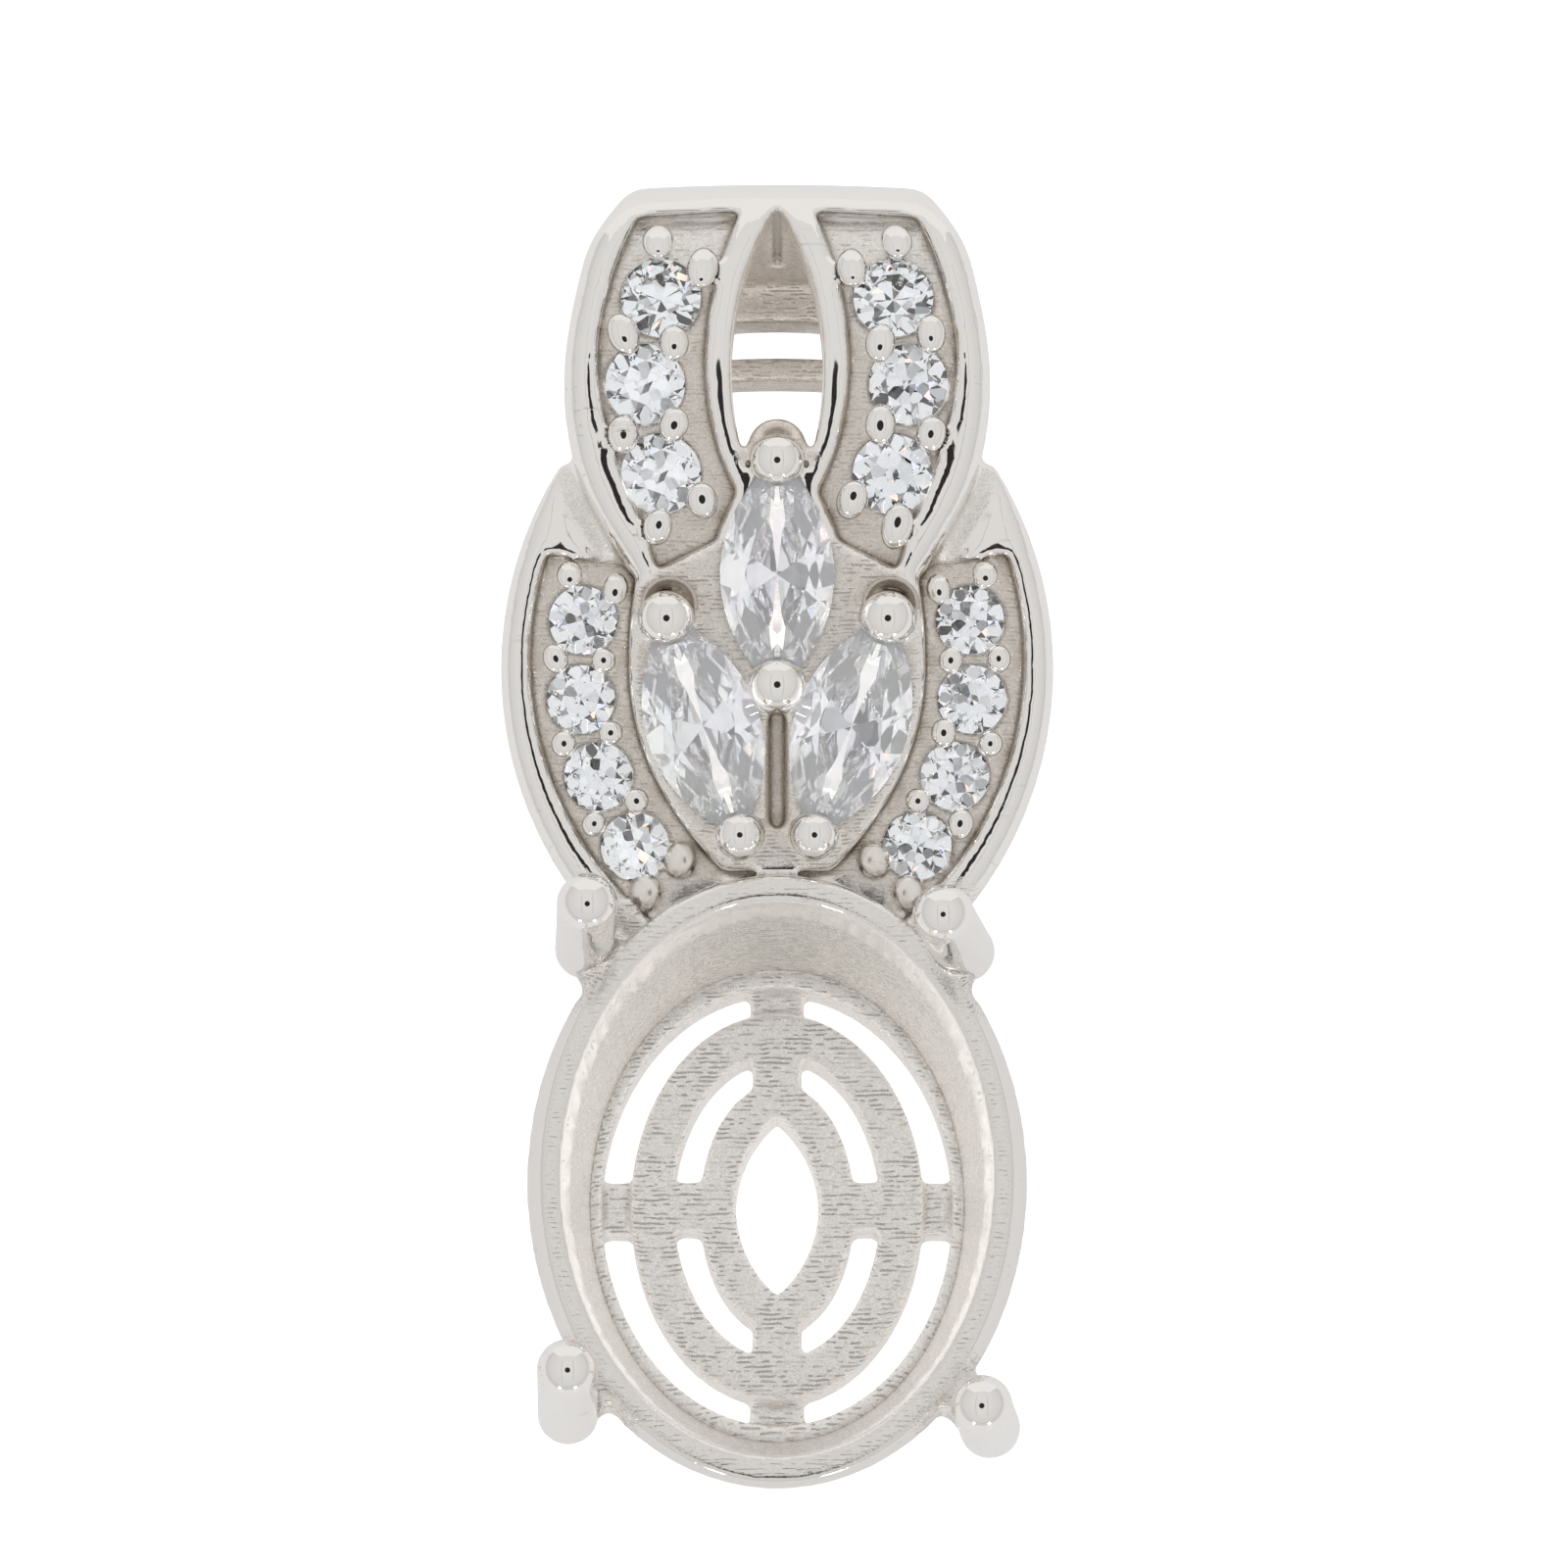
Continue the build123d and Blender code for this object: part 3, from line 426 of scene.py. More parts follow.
class Graph:
    """Short words for making nodes in one tree."""

    def __init__(self, tree):
        self.tree = tree

    def node(self, kind, inputs=None, **settings):
        made = self.tree.nodes.new(kind)
        for key, value in settings.items():
            setattr(made, key, value)
        self.fill(made, inputs or {})
        return made

    def fill(self, made, inputs):
        for key, value in inputs.items():
            self.feed(made.inputs[key], value)

    def feed(self, socket, value):
        if isinstance(value, bpy.types.NodeSocket):
            self.tree.links.new(value, socket)
        else:
            socket.default_value = value

    def maths(self, operation, first, second=None, clamp=False):
        made = self.node("ShaderNodeMath", {0: first}, operation=operation, use_clamp=clamp)
        if second is not None:
            self.feed(made.inputs[1], second)
        return made.outputs[0]

    def product(self, first, *others):
        for value in others:
            first = self.maths("MULTIPLY", first, value)
        return first

    def mix(self, share, first, second):
        """Blend of two numbers."""
        return self.node("ShaderNodeMix", {0: share, 2: first, 3: second}).outputs[0]

    def blend(self, share, first, second, kind="MIX"):
        """Blend of two colours."""
        sides = {0: share, 6: first, 7: second}
        return self.node("ShaderNodeMix", sides, data_type="RGBA", blend_type=kind).outputs[2]

    def spread(self, value, low, high, new_low, new_high):
        """Value between low and high, spread smoothly between two new ends."""
        edges = dict(enumerate((value, low, high, new_low, new_high)))
        made = self.node("ShaderNodeMapRange", edges, interpolation_type="SMOOTHSTEP")
        return made.outputs[0]

    def attribute(self, name):
        return self.node("ShaderNodeAttribute", attribute_name=name).outputs["Fac"]

    def place(self):
        """Point in the setting's own frame."""
        return self.node("ShaderNodeTexCoord").outputs["Object"]

    def axes(self, place):
        return self.node("ShaderNodeSeparateXYZ", {0: place}).outputs

    def stretched(self, place, scale):
        return self.node("ShaderNodeMapping", {"Vector": place, "Scale": scale}).outputs[0]

    def noise(self, place, scale, detail=2.0, roughness=0.5, output="Fac"):
        settings = {"Vector": place, "Scale": scale, "Detail": detail, "Roughness": roughness}
        return self.node("ShaderNodeTexNoise", settings).outputs[output]

    def placed(self, tree, inputs):
        """Outputs of a node group placed with its own values."""
        return self.node("ShaderNodeGroup", inputs, node_tree=tree).outputs

    def bump(self, shader, height, distance):
        """Relief of a height in millimetres on a shader."""
        settings = {"Strength": 1.0, "Distance": distance * MM, "Height": height}
        self.feed(shader.inputs["Normal"], self.node("ShaderNodeBump", settings).outputs[0])


def colour(rgb):
    return (*rgb[:3], 1.0)


def node_group(name, inputs, outputs, fill):
    """A node group, built once: its inputs with their values, and its outputs."""
    if name in bpy.data.node_groups:
        return bpy.data.node_groups[name]
    group = bpy.data.node_groups.new(name, "ShaderNodeTree")
    for side, labels in (("INPUT", inputs), ("OUTPUT", outputs)):
        for label in labels:
            kind = "NodeSocketColor" if label in COLOUR_SOCKETS else "NodeSocketFloat"
            socket = group.interface.new_socket(label, in_out=side, socket_type=kind)
            if side == "INPUT":
                socket.default_value = inputs[label]
    graph = Graph(group)
    entry = graph.node("NodeGroupInput")
    leave = graph.node("NodeGroupOutput")
    graph.fill(leave, fill(graph, entry.outputs))
    return group


def polish_marks(graph, entry):
    """Slow ripple and fine wiping marks left by polishing."""
    place = graph.place()
    ripple = graph.noise(place, entry["Ripple scale"], 1.0)
    lines = graph.noise(graph.stretched(place, (400, 9000, 6000)), 1.0, 2.0, 0.6)
    rare = graph.spread(lines, 0.62, 0.72, 0.0, 1.0)
    patch = graph.spread(graph.noise(place, 900.0, 2.0), 0.5, 0.7, 0.0, 1.0)
    marks = graph.product(rare, patch)
    height = graph.maths("SUBTRACT", ripple, graph.product(marks, entry["Marks"]))
    tone = graph.maths("SUBTRACT", 1.0, graph.product(marks, 0.25))
    return {"Height": height, "Tone": tone}


def satin_grain(graph, entry):
    """Cast grain, and brush marks in level rows across the setting."""
    place = graph.place()
    grain = graph.noise(place, 26000.0, 3.0, 0.6)
    coarse = graph.noise(place, 9000.0, 2.0, 0.6)
    # Rows across the floors, and up the walls, each broken into short dashes
    _, along, rise = graph.axes(place)
    reach = graph.maths("ADD", along, graph.product(rise, 0.9))
    sway = graph.product(graph.noise(place, 2600.0, 1.0), 0.9)
    row = graph.maths("ADD", graph.maths("DIVIDE", reach, BRUSH_ROW * MM), sway)
    off = graph.maths("ABSOLUTE", graph.maths("SUBTRACT", graph.maths("FRACT", row), 0.5))
    lines = graph.noise(graph.stretched(place, (5200, 12000, 12000)), 1.0, 1.0, 0.5)
    dashes = graph.product(
        graph.spread(lines, 0.47, 0.56, 0.0, 1.0),
        graph.spread(off, 0.1, 0.24, 1.0, 0.0),
        graph.spread(graph.noise(place, 1800.0, 2.0), 0.35, 0.6, 0.35, 1.0),
        entry["Brush"],
    )
    rough = graph.maths("ADD", graph.product(grain, 0.8), graph.product(coarse, 1.1))
    height = graph.maths("SUBTRACT", rough, graph.product(dashes, 1.1))
    speck = graph.spread(grain, 0.35, 0.6, 0.9, 1.07)
    tone = graph.product(speck, graph.maths("SUBTRACT", 1.0, graph.product(dashes, 0.4)))
    return {"Height": height, "Tone": tone, "Speck": graph.spread(coarse, 0.4, 0.65, 0.0, 1.0)}


def painted_shade_tone(graph, entry):
    """Painted shade: darker, browner metal in the hollows, where light doesn't reach."""
    share = graph.maths("MULTIPLY", graph.attribute("painted_shade"), entry["Amount"], clamp=True)
    return {"Colour": graph.blend(share, entry["Colour"], entry["Dark"])}


def polish_group():
    inputs = {"Ripple scale": 700.0, "Marks": 0.3}
    return node_group("Polish marks", inputs, ("Height", "Tone"), polish_marks)


def grain_group():
    return node_group("Satin grain", {"Brush": 1.0}, ("Height", "Tone", "Speck"), satin_grain)


def painted_shade_group():
    inputs = {"Colour": (1, 1, 1, 1), "Dark": (0.3, 0.26, 0.21, 1), "Amount": 0.62}
    return node_group("Painted shade tone", inputs, ("Colour",), painted_shade_tone)


def shaded(name, kind, inputs):
    """Material with one shader, its nodes' helper and the shader."""
    material = bpy.data.materials.new(name)
    material.use_nodes = True
    material.node_tree.nodes.clear()
    material.cycles.emission_sampling = "NONE"
    graph = Graph(material.node_tree)
    shader = graph.node(kind, inputs)
    graph.node("ShaderNodeOutputMaterial", {"Surface": shader.outputs[0]})
    return material, graph, shader


def metal(name, roughness):
    inputs = {"Metallic": 1.0, "Roughness": roughness}
    return shaded(name, "ShaderNodeBsdfPrincipled", inputs)


def times(graph, tint, tone):
    """Colour darkened or lightened by a number."""
    grey = graph.node("ShaderNodeCombineColor", dict.fromkeys(range(3), tone))
    return graph.blend(1.0, tint, grey.outputs[0], "MULTIPLY")


def casting_material():
    """Satin floors and polished rims of one casting, told apart by its surface."""
    if "cast silver" in bpy.data.materials:
        return bpy.data.materials["cast silver"]
    look = finish()
    material, graph, shader = metal("cast silver", look.polish)
    polish = graph.placed(polish_group(), {"Ripple scale": 650.0})
    grain = graph.placed(grain_group(), {"Brush": graph.attribute("brush")})
    satin = graph.attribute("satin")
    floor_tone = graph.blend(graph.attribute("dull"), colour(look.silver), colour(look.satin))
    satin_tone = times(graph, floor_tone, grain["Tone"])
    polish_tone = times(graph, colour(look.silver), polish["Tone"])
    bare = graph.blend(satin, polish_tone, satin_tone)
    painted_shade = graph.placed(painted_shade_group(), {"Colour": bare})
    rough = graph.mix(grain["Speck"], 0.42, 0.26)
    ripple = graph.product(polish["Height"], 0.35)
    # Painted light: an emission glow stands in for the light that the stones gather into their
    # seats and the basket into its wall
    inputs = {
        "Base Color": painted_shade["Colour"],
        "Roughness": graph.mix(satin, look.polish, rough),
        "Emission Color": colour((1.0, 0.975, 0.95)),
        "Emission Strength": graph.product(graph.attribute("painted_light"), 0.5),
    }
    graph.fill(shader, inputs)
    graph.bump(shader, graph.mix(satin, ripple, grain["Height"]), 0.012)
    return material


def polished(name, roughness, dull, scale, marks, relief):
    """Polished metal with a ripple of one scale, its colour dulled towards satin."""
    if name in bpy.data.materials:
        return bpy.data.materials[name]
    look = finish()
    material, graph, shader = metal(name, roughness)
    polish = graph.placed(polish_group(), {"Ripple scale": scale, "Marks": marks})
    tint = graph.blend(dull, colour(look.silver), colour(look.satin))
    graph.feed(shader.inputs["Base Color"], times(graph, tint, polish["Tone"]))
    graph.bump(shader, polish["Height"], relief)
    return material


def prong_material():
    """Bright wire with the slightest hand-worked ripple."""
    return polished("polished silver", finish().polish * 0.6, 0.0, 1400.0, 0.1, 0.004)


def pad_material():
    """Pressed beads, duller than the polished ones."""
    return polished("pressed silver", 0.26, 0.5, 2600.0, 0.6, 0.02)


def stone_material(name, tint, painted_glow, index, clear):
    """Clear stone with painted fire, each facet tinted a trace of a colour of its own, and a
    painted glow.
    """
    own = colour(finish().stone)
    inputs = {
        "Metallic": 0.0,
        "Roughness": 0.0,
        "IOR": index,
        "Transmission Weight": clear,
        "Emission Color": colour((0.97, 0.98, 1.0)),
        "Emission Strength": painted_glow,
    }
    material, graph, shader = shaded(name, "ShaderNodeBsdfPrincipled", inputs)
    facing = graph.node("ShaderNodeNewGeometry").outputs["True Normal"]
    painted_fire = graph.blend(tint, own, graph.noise(facing, 7.0, 0.0, output="Color"))
    graph.feed(shader.inputs["Base Color"], graph.blend(0.5, painted_fire, own))
    return material


# Casting


def rounded_edges(mesh, passes):
    """Polishing: edges that stand out are worn round, hollows keep their lines."""
    near = Neighbours(mesh)
    points = mesh_points(mesh)
    for _ in range(3):
        points += 0.5 * (near.mean(points) - points)
    set_points(mesh, points)
    upper = ramp(points[:, 1], -1.6, -0.9)
    for step in range(passes):
        if step % 6 == 0:
            set_points(mesh, points)
            normals = mesh_normals(mesh)
        pull = near.mean(points) - points
        out = -(pull * normals).sum(1)
        weight = (0.12 + 0.88 * ramp(out, 0.0, 0.006)) * (0.25 + 0.75 * upper)
        points += 0.5 * weight[:, None] * pull
    set_points(mesh, points)
    return near


def bail_flank(along):
    """Half width of the bail where its sides stand on the shield."""
    return np.interp(along, [5.05, 5.91, 6.61, 7.65, 8.86], [2.41, 2.95, 3.34, 3.66, 3.74])


def smooth_shoulders(mesh, near, passes):
    """Soft hollows of the shield beside the bail."""
    points = mesh_points(mesh)
    x = np.abs(points[:, 0])
    along, depth, _ = face_coordinates(points)
    flank = bail_flank(along)
    edge = np.hypot(x - SHIELD_X + SHIELD_RADIUS, along - SHIELD_ALONG) - SHIELD_RADIUS
    weight = ramp(along - 5.05 - 0.154 * x, 0.06, 0.3) * ramp(x - flank, -0.03, 0.1)
    weight *= ramp(depth, 0.3, 0.38) * (depth < 1.0) * ramp(-edge, 0.02, 0.3)
    weight *= along < 7.6
    for _ in range(passes):
        points += 0.9 * weight[:, None] * (near.mean(points) - points)
    set_points(mesh, points)


def smooth_feet(mesh, near, passes):
    """Solder worn smooth round the feet of the basket's prongs."""
    points = mesh_points(mesh)
    weight = np.zeros(len(points))
    outside = ramp(rim_share(points), 0.99, 1.03)
    for row in BASKET_PRONGS:
        _, apart = from_line(points, *prong_line(row))
        weight = np.maximum(weight, ramp(1.0 - apart, 0.0, 0.2) * outside)
    for _ in range(passes):
        points += 0.7 * weight[:, None] * (near.mean(points) - points)
    set_points(mesh, points)


def crowned_top(mesh):
    """The bail's top, filed slightly lower towards its corners."""
    points = mesh_points(mesh)
    along = face_coordinates(points)[0]
    x = np.abs(points[:, 0])
    share = ramp(along, 10.9, 12.2) * (points[:, 1] > 7.0)
    points[:, 1] -= share * (0.012 * x**2 + 0.12 * ramp(x, 2.2, 3.6))
    set_points(mesh, points)


def tucked(mesh):
    """Rough prongs and beads of the casting, drawn in under the finished ones."""
    points = mesh_points(mesh)
    for row in BASKET_PRONGS:
        foot, tip = prong_line(row)
        spots, apart = from_line(points, foot, tip)
        inside = apart < sizes().basket_prong / MM + 0.015
        points[inside] = spots[inside] + 0.85 * (points[inside] - spots[inside])
    along, depth, turn = face_coordinates(points)
    for across, reach, radius in TREFOIL_PRONGS:
        ring = np.hypot(points[:, 0] - across, along - reach)
        spot = np.array(face_matrix(across, min(reach, BEND_START), 0.0).translation)
        out = face_normals(np.zeros(1))[0]
        inside = (ring < radius + 0.012) & (depth < 0.0) & (depth > -1.2)
        rise = (points[inside] - spot) @ out
        flat = points[inside] - spot - rise[:, None] * out
        points[inside] = spot + 0.86 * flat + 0.86 * rise[:, None] * out
    bail, shield = bead_places()
    for places, radius in ((bail, 0.3), (shield, 0.25)):
        for across, reach, level, _ in places:
            ring = np.hypot(points[:, 0] - across, along - reach)
            inside = (ring < radius) & (depth > level - 0.8) & (depth < level - 0.02)
            sunk = depth[inside] - level
            out = face_normals(turn[inside])
            points[inside] += 0.8 * sunk[:, None] * out
    set_points(mesh, points)


def hollows(mesh, near, passes):
    """How far the surface lies below its own smoothed self."""
    points = mesh_points(mesh)
    normals = mesh_normals(mesh)
    smooth = points.copy()
    for _ in range(passes):
        smooth += 0.6 * (near.mean(smooth) - smooth)
    return ((smooth - points) * normals).sum(1)


def surface_masks(points, normals):
    """Shares of satin, dullness and brushing, the basket's wall, and painted light."""
    x = np.abs(points[:, 0])
    y, z = points[:, 1], points[:, 2]
    along, depth, turn = face_coordinates(points)
    facing = (normals * face_normals(turn)).sum(1)
    flat = ramp(facing, 0.72, 0.92)

    # Basket, in shares of its rim
    rim = rim_share(points)
    bore = np.hypot(x / BORE_X, (y - BASKET_Y) / BORE_Y)
    in_basket = (rim < 1.06) & (y < -0.55)
    level = ramp(normals[:, 2], 0.75, 0.95)
    gallery = in_basket & (z < 1.05) & (rim < 0.84)
    wall = in_basket & (rim < 0.888) & (z < BASKET_TOP - 0.7) & ~gallery
    rim_flat = in_basket & (z > BASKET_TOP - 0.06)

    # Each point's shares of satin, dullness and brushing
    coat = np.zeros((len(points), 3))
    coat[gallery] = (1.0, 0.1, 1.0)
    coat[wall] = (0.85, 0.1, 1.0)
    coat[rim_flat, 0] = 0.3 * level[rim_flat]
    coat[rim_flat, 2] = 0.5

    # Shield rows and the hollows beside the bail
    upper = ~in_basket & (y > -2.5)
    recess_x = SHIELD_X - RIM_WIDTH - RECESS_RADIUS
    in_recess = np.hypot(x - recess_x, along - RECESS_ALONG) < RECESS_RADIUS + 0.02
    in_recess &= along < 5.05 + 0.75 * x / SHIELD_X + 0.03
    shield_floor = upper & in_recess & (depth > SHIELD_DEPTH + 0.09) & (depth < 1.0)
    scoop = upper & ~in_recess & (along > 5.4) & (along < 7.2)
    scoop &= (depth > SHIELD_DEPTH + 0.1) & (depth < SHIELD_DEPTH + 0.5) & (facing > 0.5)
    scoop &= x < bail_flank(along) + 0.4

    # Bail rows: inside their outlines and below the crest
    in_bail = upper & (along > 5.2) & (along < 11.68) & (depth > -0.2) & (depth < 1.2)
    in_row = in_bail & (depth > 0.07) & (x < np.interp(along, *ROW_OUTER) + 0.03)
    in_row &= x > np.interp(along, *ROW_INNER) - 0.03
    opening = np.hypot(x + OPENING_RADIUS - 0.8, y - OPENING_Y) - OPENING_RADIUS
    in_opening = upper & (opening < 0.04) & (depth > 0.12) & (y < 10.8)

    # Plate under the marquises, up to the feet of the bail's rows
    plate = upper & ~in_row & (depth < 0.3) & (along < 5.95) & (x < 2.6)
    plate &= (along < 5.12) | (x < 2.12)
    plate &= (along < 5.4) | (x < 2.12 - (along - 5.37) * 2.03)
    coat[shield_floor] = (1.0, 1.0, 0.45)
    coat[scoop] = (1.0, 0.25, 0.2)
    coat[in_row] = (1.0, 1.0, 0.45)
    coat[in_opening] = (1.0, 0.9, 0.7)
    coat[in_row, 1] -= 0.7 * ramp(along[in_row], 10.2, 11.2)
    for row in BASKET_PRONGS:
        _, apart = from_line(points, *prong_line(row))
        foot = (apart < 1.4) & (rim > 0.985)
        coat[foot, 0] = np.maximum(coat[:, 0], ramp(1.4 - apart, 0.0, 0.3))[foot]
        coat[foot, 1:] = (0.3, 1.0)
    groove = upper & (x < 0.24) & (along > 0.8) & (along < 2.95)
    groove &= (depth > 0.05) & (depth < 1.2)
    coat[groove] = (1.0, 0.9, 0.2)
    for across, reach, radius in TREFOIL_PRONGS:
        ring = np.hypot(points[:, 0] - across, along - reach)
        cup = upper & (ring < radius + 0.24) & (along > reach) & (depth < 0.9)
        coat[cup] = (1.0, 1.0, 0.1)
    plate_share = np.where(plate, flat, 0.0)
    coat = np.maximum(coat, plate_share[:, None] * (1.0, 0.8, 0.9))

    # Back wall seen through the opening, and the inside of the tunnel
    tunnel = upper & (y > 5.6) & (y < 10.8) & (depth > 0.85) & (x < 3.3)
    tunnel &= (z > 0.5) & (z < 4.6)
    coat[tunnel] = (1.0, 0.55, 0.8)
    bevel = in_basket & (bore < 1.0) & (z < BASKET_TOP - 0.04) & ~gallery & ~wall
    # Painted light on the basket's wall, bevel and slot walls, brighter where they face sideways
    glow = np.where(wall, 0.32 * normals[:, 0] ** 2, 0.0)
    glow = np.where(bevel, 0.1 + 0.6 * normals[:, 0] ** 2, glow)
    glow = np.where(gallery & (z < 1.0), 0.3 * (1.0 - level), glow)
    return (*coat.T, wall, glow)


def behind_stones(points):
    """Seats of the stones, where painted light makes the metal show bright through them."""
    seats = np.zeros(len(points), dtype=bool)
    along, depth, _ = face_coordinates(points)
    for name in BAIL_STONES + SHIELD_STONES + MARQUISES:
        low, high = (np.array(corner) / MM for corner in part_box(name))
        centre = (low + high) / 2
        across, up = points[:, 0] - centre[0], along - face_coordinates(centre[None])[0]
        if name in MARQUISES:
            turned = MARQUISE_TURN * np.sign(round(centre[0], 2))
            wide = across * math.cos(turned) - up * math.sin(turned)
            long = across * math.sin(turned) + up * math.cos(turned)
            reach = np.abs(wide) / 0.97 + (long / 1.95) ** 2
        else:
            reach = np.hypot(across, up) / (0.48 * (high[0] - low[0]))
        seats |= (reach < 1) & (depth > 0.05)
    return seats


class SETTING_OT_casting(bpy.types.Operator):
    """Rebuild the casting with polished round edges and satin floors"""

    bl_idname = "setting.casting"
    bl_label = "Casting"

    def execute(self, context):
        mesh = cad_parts[CASTING].data.copy()
        mesh.materials.clear()
        mesh.transform(Matrix.Scale(1 / MM, 4))
        piece = object_from("silver_casting", mesh)
        mesh = with_modifier(piece, "REMESH", mode="VOXEL", voxel_size=sizes().cell / MM)
        near = rounded_edges(mesh, sizes().wear)
        smooth_shoulders(mesh, near, 70)
        smooth_feet(mesh, near, 110)
        crowned_top(mesh)
        normals = mesh_normals(mesh)
        tucked(mesh)
        points = mesh_points(mesh)
        # Painted shade: dark in the hollows, little in the seats under the stones and on the
        # basket's wall
        painted_shade = ramp(hollows(mesh, near, 8), 0.002, 0.03)
        painted_shade = np.clip(painted_shade + 0.7 * ramp(hollows(mesh, near, 60), 0.01, 0.12), 0, 1)
        seats = behind_stones(points)
        painted_shade[seats] *= 0.1
        satin, dull, brush, wall, glow = surface_masks(points, normals)
        painted_shade[wall] *= 0.55
        # Some painted shade on the basket's rim
        rim = rim_share(points)
        rim = (rim > 0.92) & (rim < 1.08) & (points[:, 1] < -0.75) & (points[:, 2] > 3.0)
        painted_shade[rim] = np.maximum(painted_shade[rim], 0.2)
        dull[seats] = 0.2
        for _ in range(2):
            satin, dull = near.mean(satin), near.mean(dull)
        triangles = 2 * len(mesh.polygons)
        share = min(1.0, sizes().triangles / triangles)
        mesh = with_modifier(piece, "DECIMATE", ratio=share)
        kept = mesh_points(mesh)
        tree = kdtree.KDTree(len(points))
        for i, point in enumerate(points):
            tree.insert(point, i)
        tree.balance()
        nearest = np.array([tree.find(point)[1] for point in kept])
        masks = {"satin": satin, "brush": brush, "dull": dull, "painted_shade": painted_shade}
        # Painted light: a glow in the seats under the stones and on the basket's walls
        masks["painted_light"] = np.maximum(seats, glow)
        for name, values in masks.items():
            add_attribute(mesh, name, values[nearest])
        mesh.transform(Matrix.Scale(MM, 4))
        mesh.shade_smooth()
        mesh.normals_split_custom_set_from_vertices(normals[nearest])
        mesh.materials.append(casting_material())
        print("casting", triangles, "->", len(mesh.polygons))
        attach(piece, ROOT)
        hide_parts(CASTING)
        return {"FINISHED"}


# Beads and prongs


def soft_dome(radius, height, square, steps):
    """Half profile of a dome; below 1, square makes its top flatter than a ball's."""
    profile = []
    for i in range(steps + 1):
        angle = math.radians(90 * i / steps)
        out = radius * max(0.0, math.cos(angle)) ** square
        profile.append((out, height * math.sin(angle) ** square))
    profile[-1] = (0.0, height)
    return profile


def bead(radius, stretch, lean, press):
    """Bead on its stem: lean tips it over the stones, press is its crown's height."""
    foot = -BEAD_RISE - 0.05
    profile = [(0.0, foot), (radius, foot), (radius * 0.86, -BEAD_RISE + 0.05)]
    profile += [(radius * 0.86, -0.45 * radius), (radius * 0.96, -0.2 * radius)]
    profile += soft_dome(radius, radius * press, 0.8, 14)
    skin = revolved(profile, 28)
    for vert in skin.verts:
        vert.co.y = vert.co.y * stretch + lean * max(0.0, vert.co.z)
    every_way = {f"use_axis_{axis}": True for axis in "xyz"}
    bmesh.ops.smooth_vert(skin, verts=skin.verts, factor=0.2, **every_way)
    return skin


def pad(across, along, depth, radius):
    """Low bead that was pressed flat beside the basket."""
    skin = revolved([(0.0, -0.05), (radius, -0.05)] + soft_dome(radius, 0.27, 0.95, 12)[1:], 28)
    for vert in skin.verts:
        vert.co.y *= 1.15
        vert.co.z += 0.25 * vert.co.x * math.copysign(1.0, -across)
    return moved(skin, face_matrix(across, along, depth))


def row_beads(rows, radius, stretch):
    """Beads of one kind, each a little different, in millimetres."""
    chance = np.random.default_rng(7)
    skins = []
    for across, along, depth, lean in rows:
        skin = bead(
            radius * chance.uniform(0.95, 1.06),
            chance.uniform(*stretch),
            lean * chance.uniform(0.6, 1.3),
            chance.uniform(0.78, 1.0),
        )
        turn = Matrix.Rotation(chance.uniform(-0.35, 0.35), 4, "Z")
        skins.append(moved(skin, face_matrix(across, along, depth - BEAD_RISE) @ turn))
    return skins


def stone_step(stone, radius):
    """Angle from one stone of a bowed row to the next."""
    return 2 * math.asin((stone + STONE_GAP) / 2 / radius)


def row_places(count, radius, centre, start, step, spread, depth):
    """Across, along, depth and lean of the beads beside a row of stones, left and right."""
    places = []
    for side in (-1, 1):
        for i in range(count + 1):
            angle = start - (i - 0.5) * step
            lean = {0: -0.35, count: 0.35}.get(i, 0.0)
            for reach in (radius - spread, radius + spread):
                across = side * (centre[0] + reach * math.cos(angle))
                along = centre[1] + reach * math.sin(angle)
                places.append((across, along, depth, lean))
    return places


def bead_places():
    """Places of the bail's beads and of the shield's."""
    centre = (BAIL_ROW_X - BAIL_ROW_RADIUS, BAIL_ROW_ALONG)
    step = stone_step(BAIL_STONE, BAIL_ROW_RADIUS)
    bail = row_places(3, BAIL_ROW_RADIUS, centre, step, step, 0.45, ROW_DEPTH)
    centre = (SHIELD_X - SHIELD_RADIUS, SHIELD_ALONG)
    step = stone_step(SHIELD_STONE, SHIELD_ROW_RADIUS)
    depth = SHIELD_DEPTH + ROW_DEPTH
    shield = row_places(4, SHIELD_ROW_RADIUS, centre, SHIELD_START, step, 0.42, depth)
    return bail, shield


class SETTING_OT_row_beads(bpy.types.Operator):
    """Beads that hold the round stones of the bail and the shield"""

    bl_idname = "setting.row_beads"
    bl_label = "Row beads"

    def execute(self, context):
        bail, shield = bead_places()
        radius = sizes().bail_bead / MM
        joined("bail_beads", row_beads(bail, radius, (1.15, 1.4)), prong_material())
        radius = sizes().shield_bead / MM
        lowest = sorted(shield, key=lambda place: place[1])[:4]
        others = [place for place in shield if place not in lowest]
        joined("shield_beads", row_beads(others, radius, (1.0, 1.25)), prong_material())
        pads = [pad(*place[:3], radius * 1.42) for place in lowest]
        joined("shield_pads", pads, pad_material())
        return {"FINISHED"}


def ball_prong(radius, foot, top, flatten):
    """Round wire with a ball top, the top slightly flattened."""
    profile = [(0.0, foot), (radius * 0.98, foot), (radius * 0.97, foot * 0.5)]
    profile.append((radius * 0.97, top - radius * 0.35))
    for out, height in soft_dome(radius, radius * flatten, 0.93, 20):
        profile.append((out, top + height))
    return revolved(profile, 56)


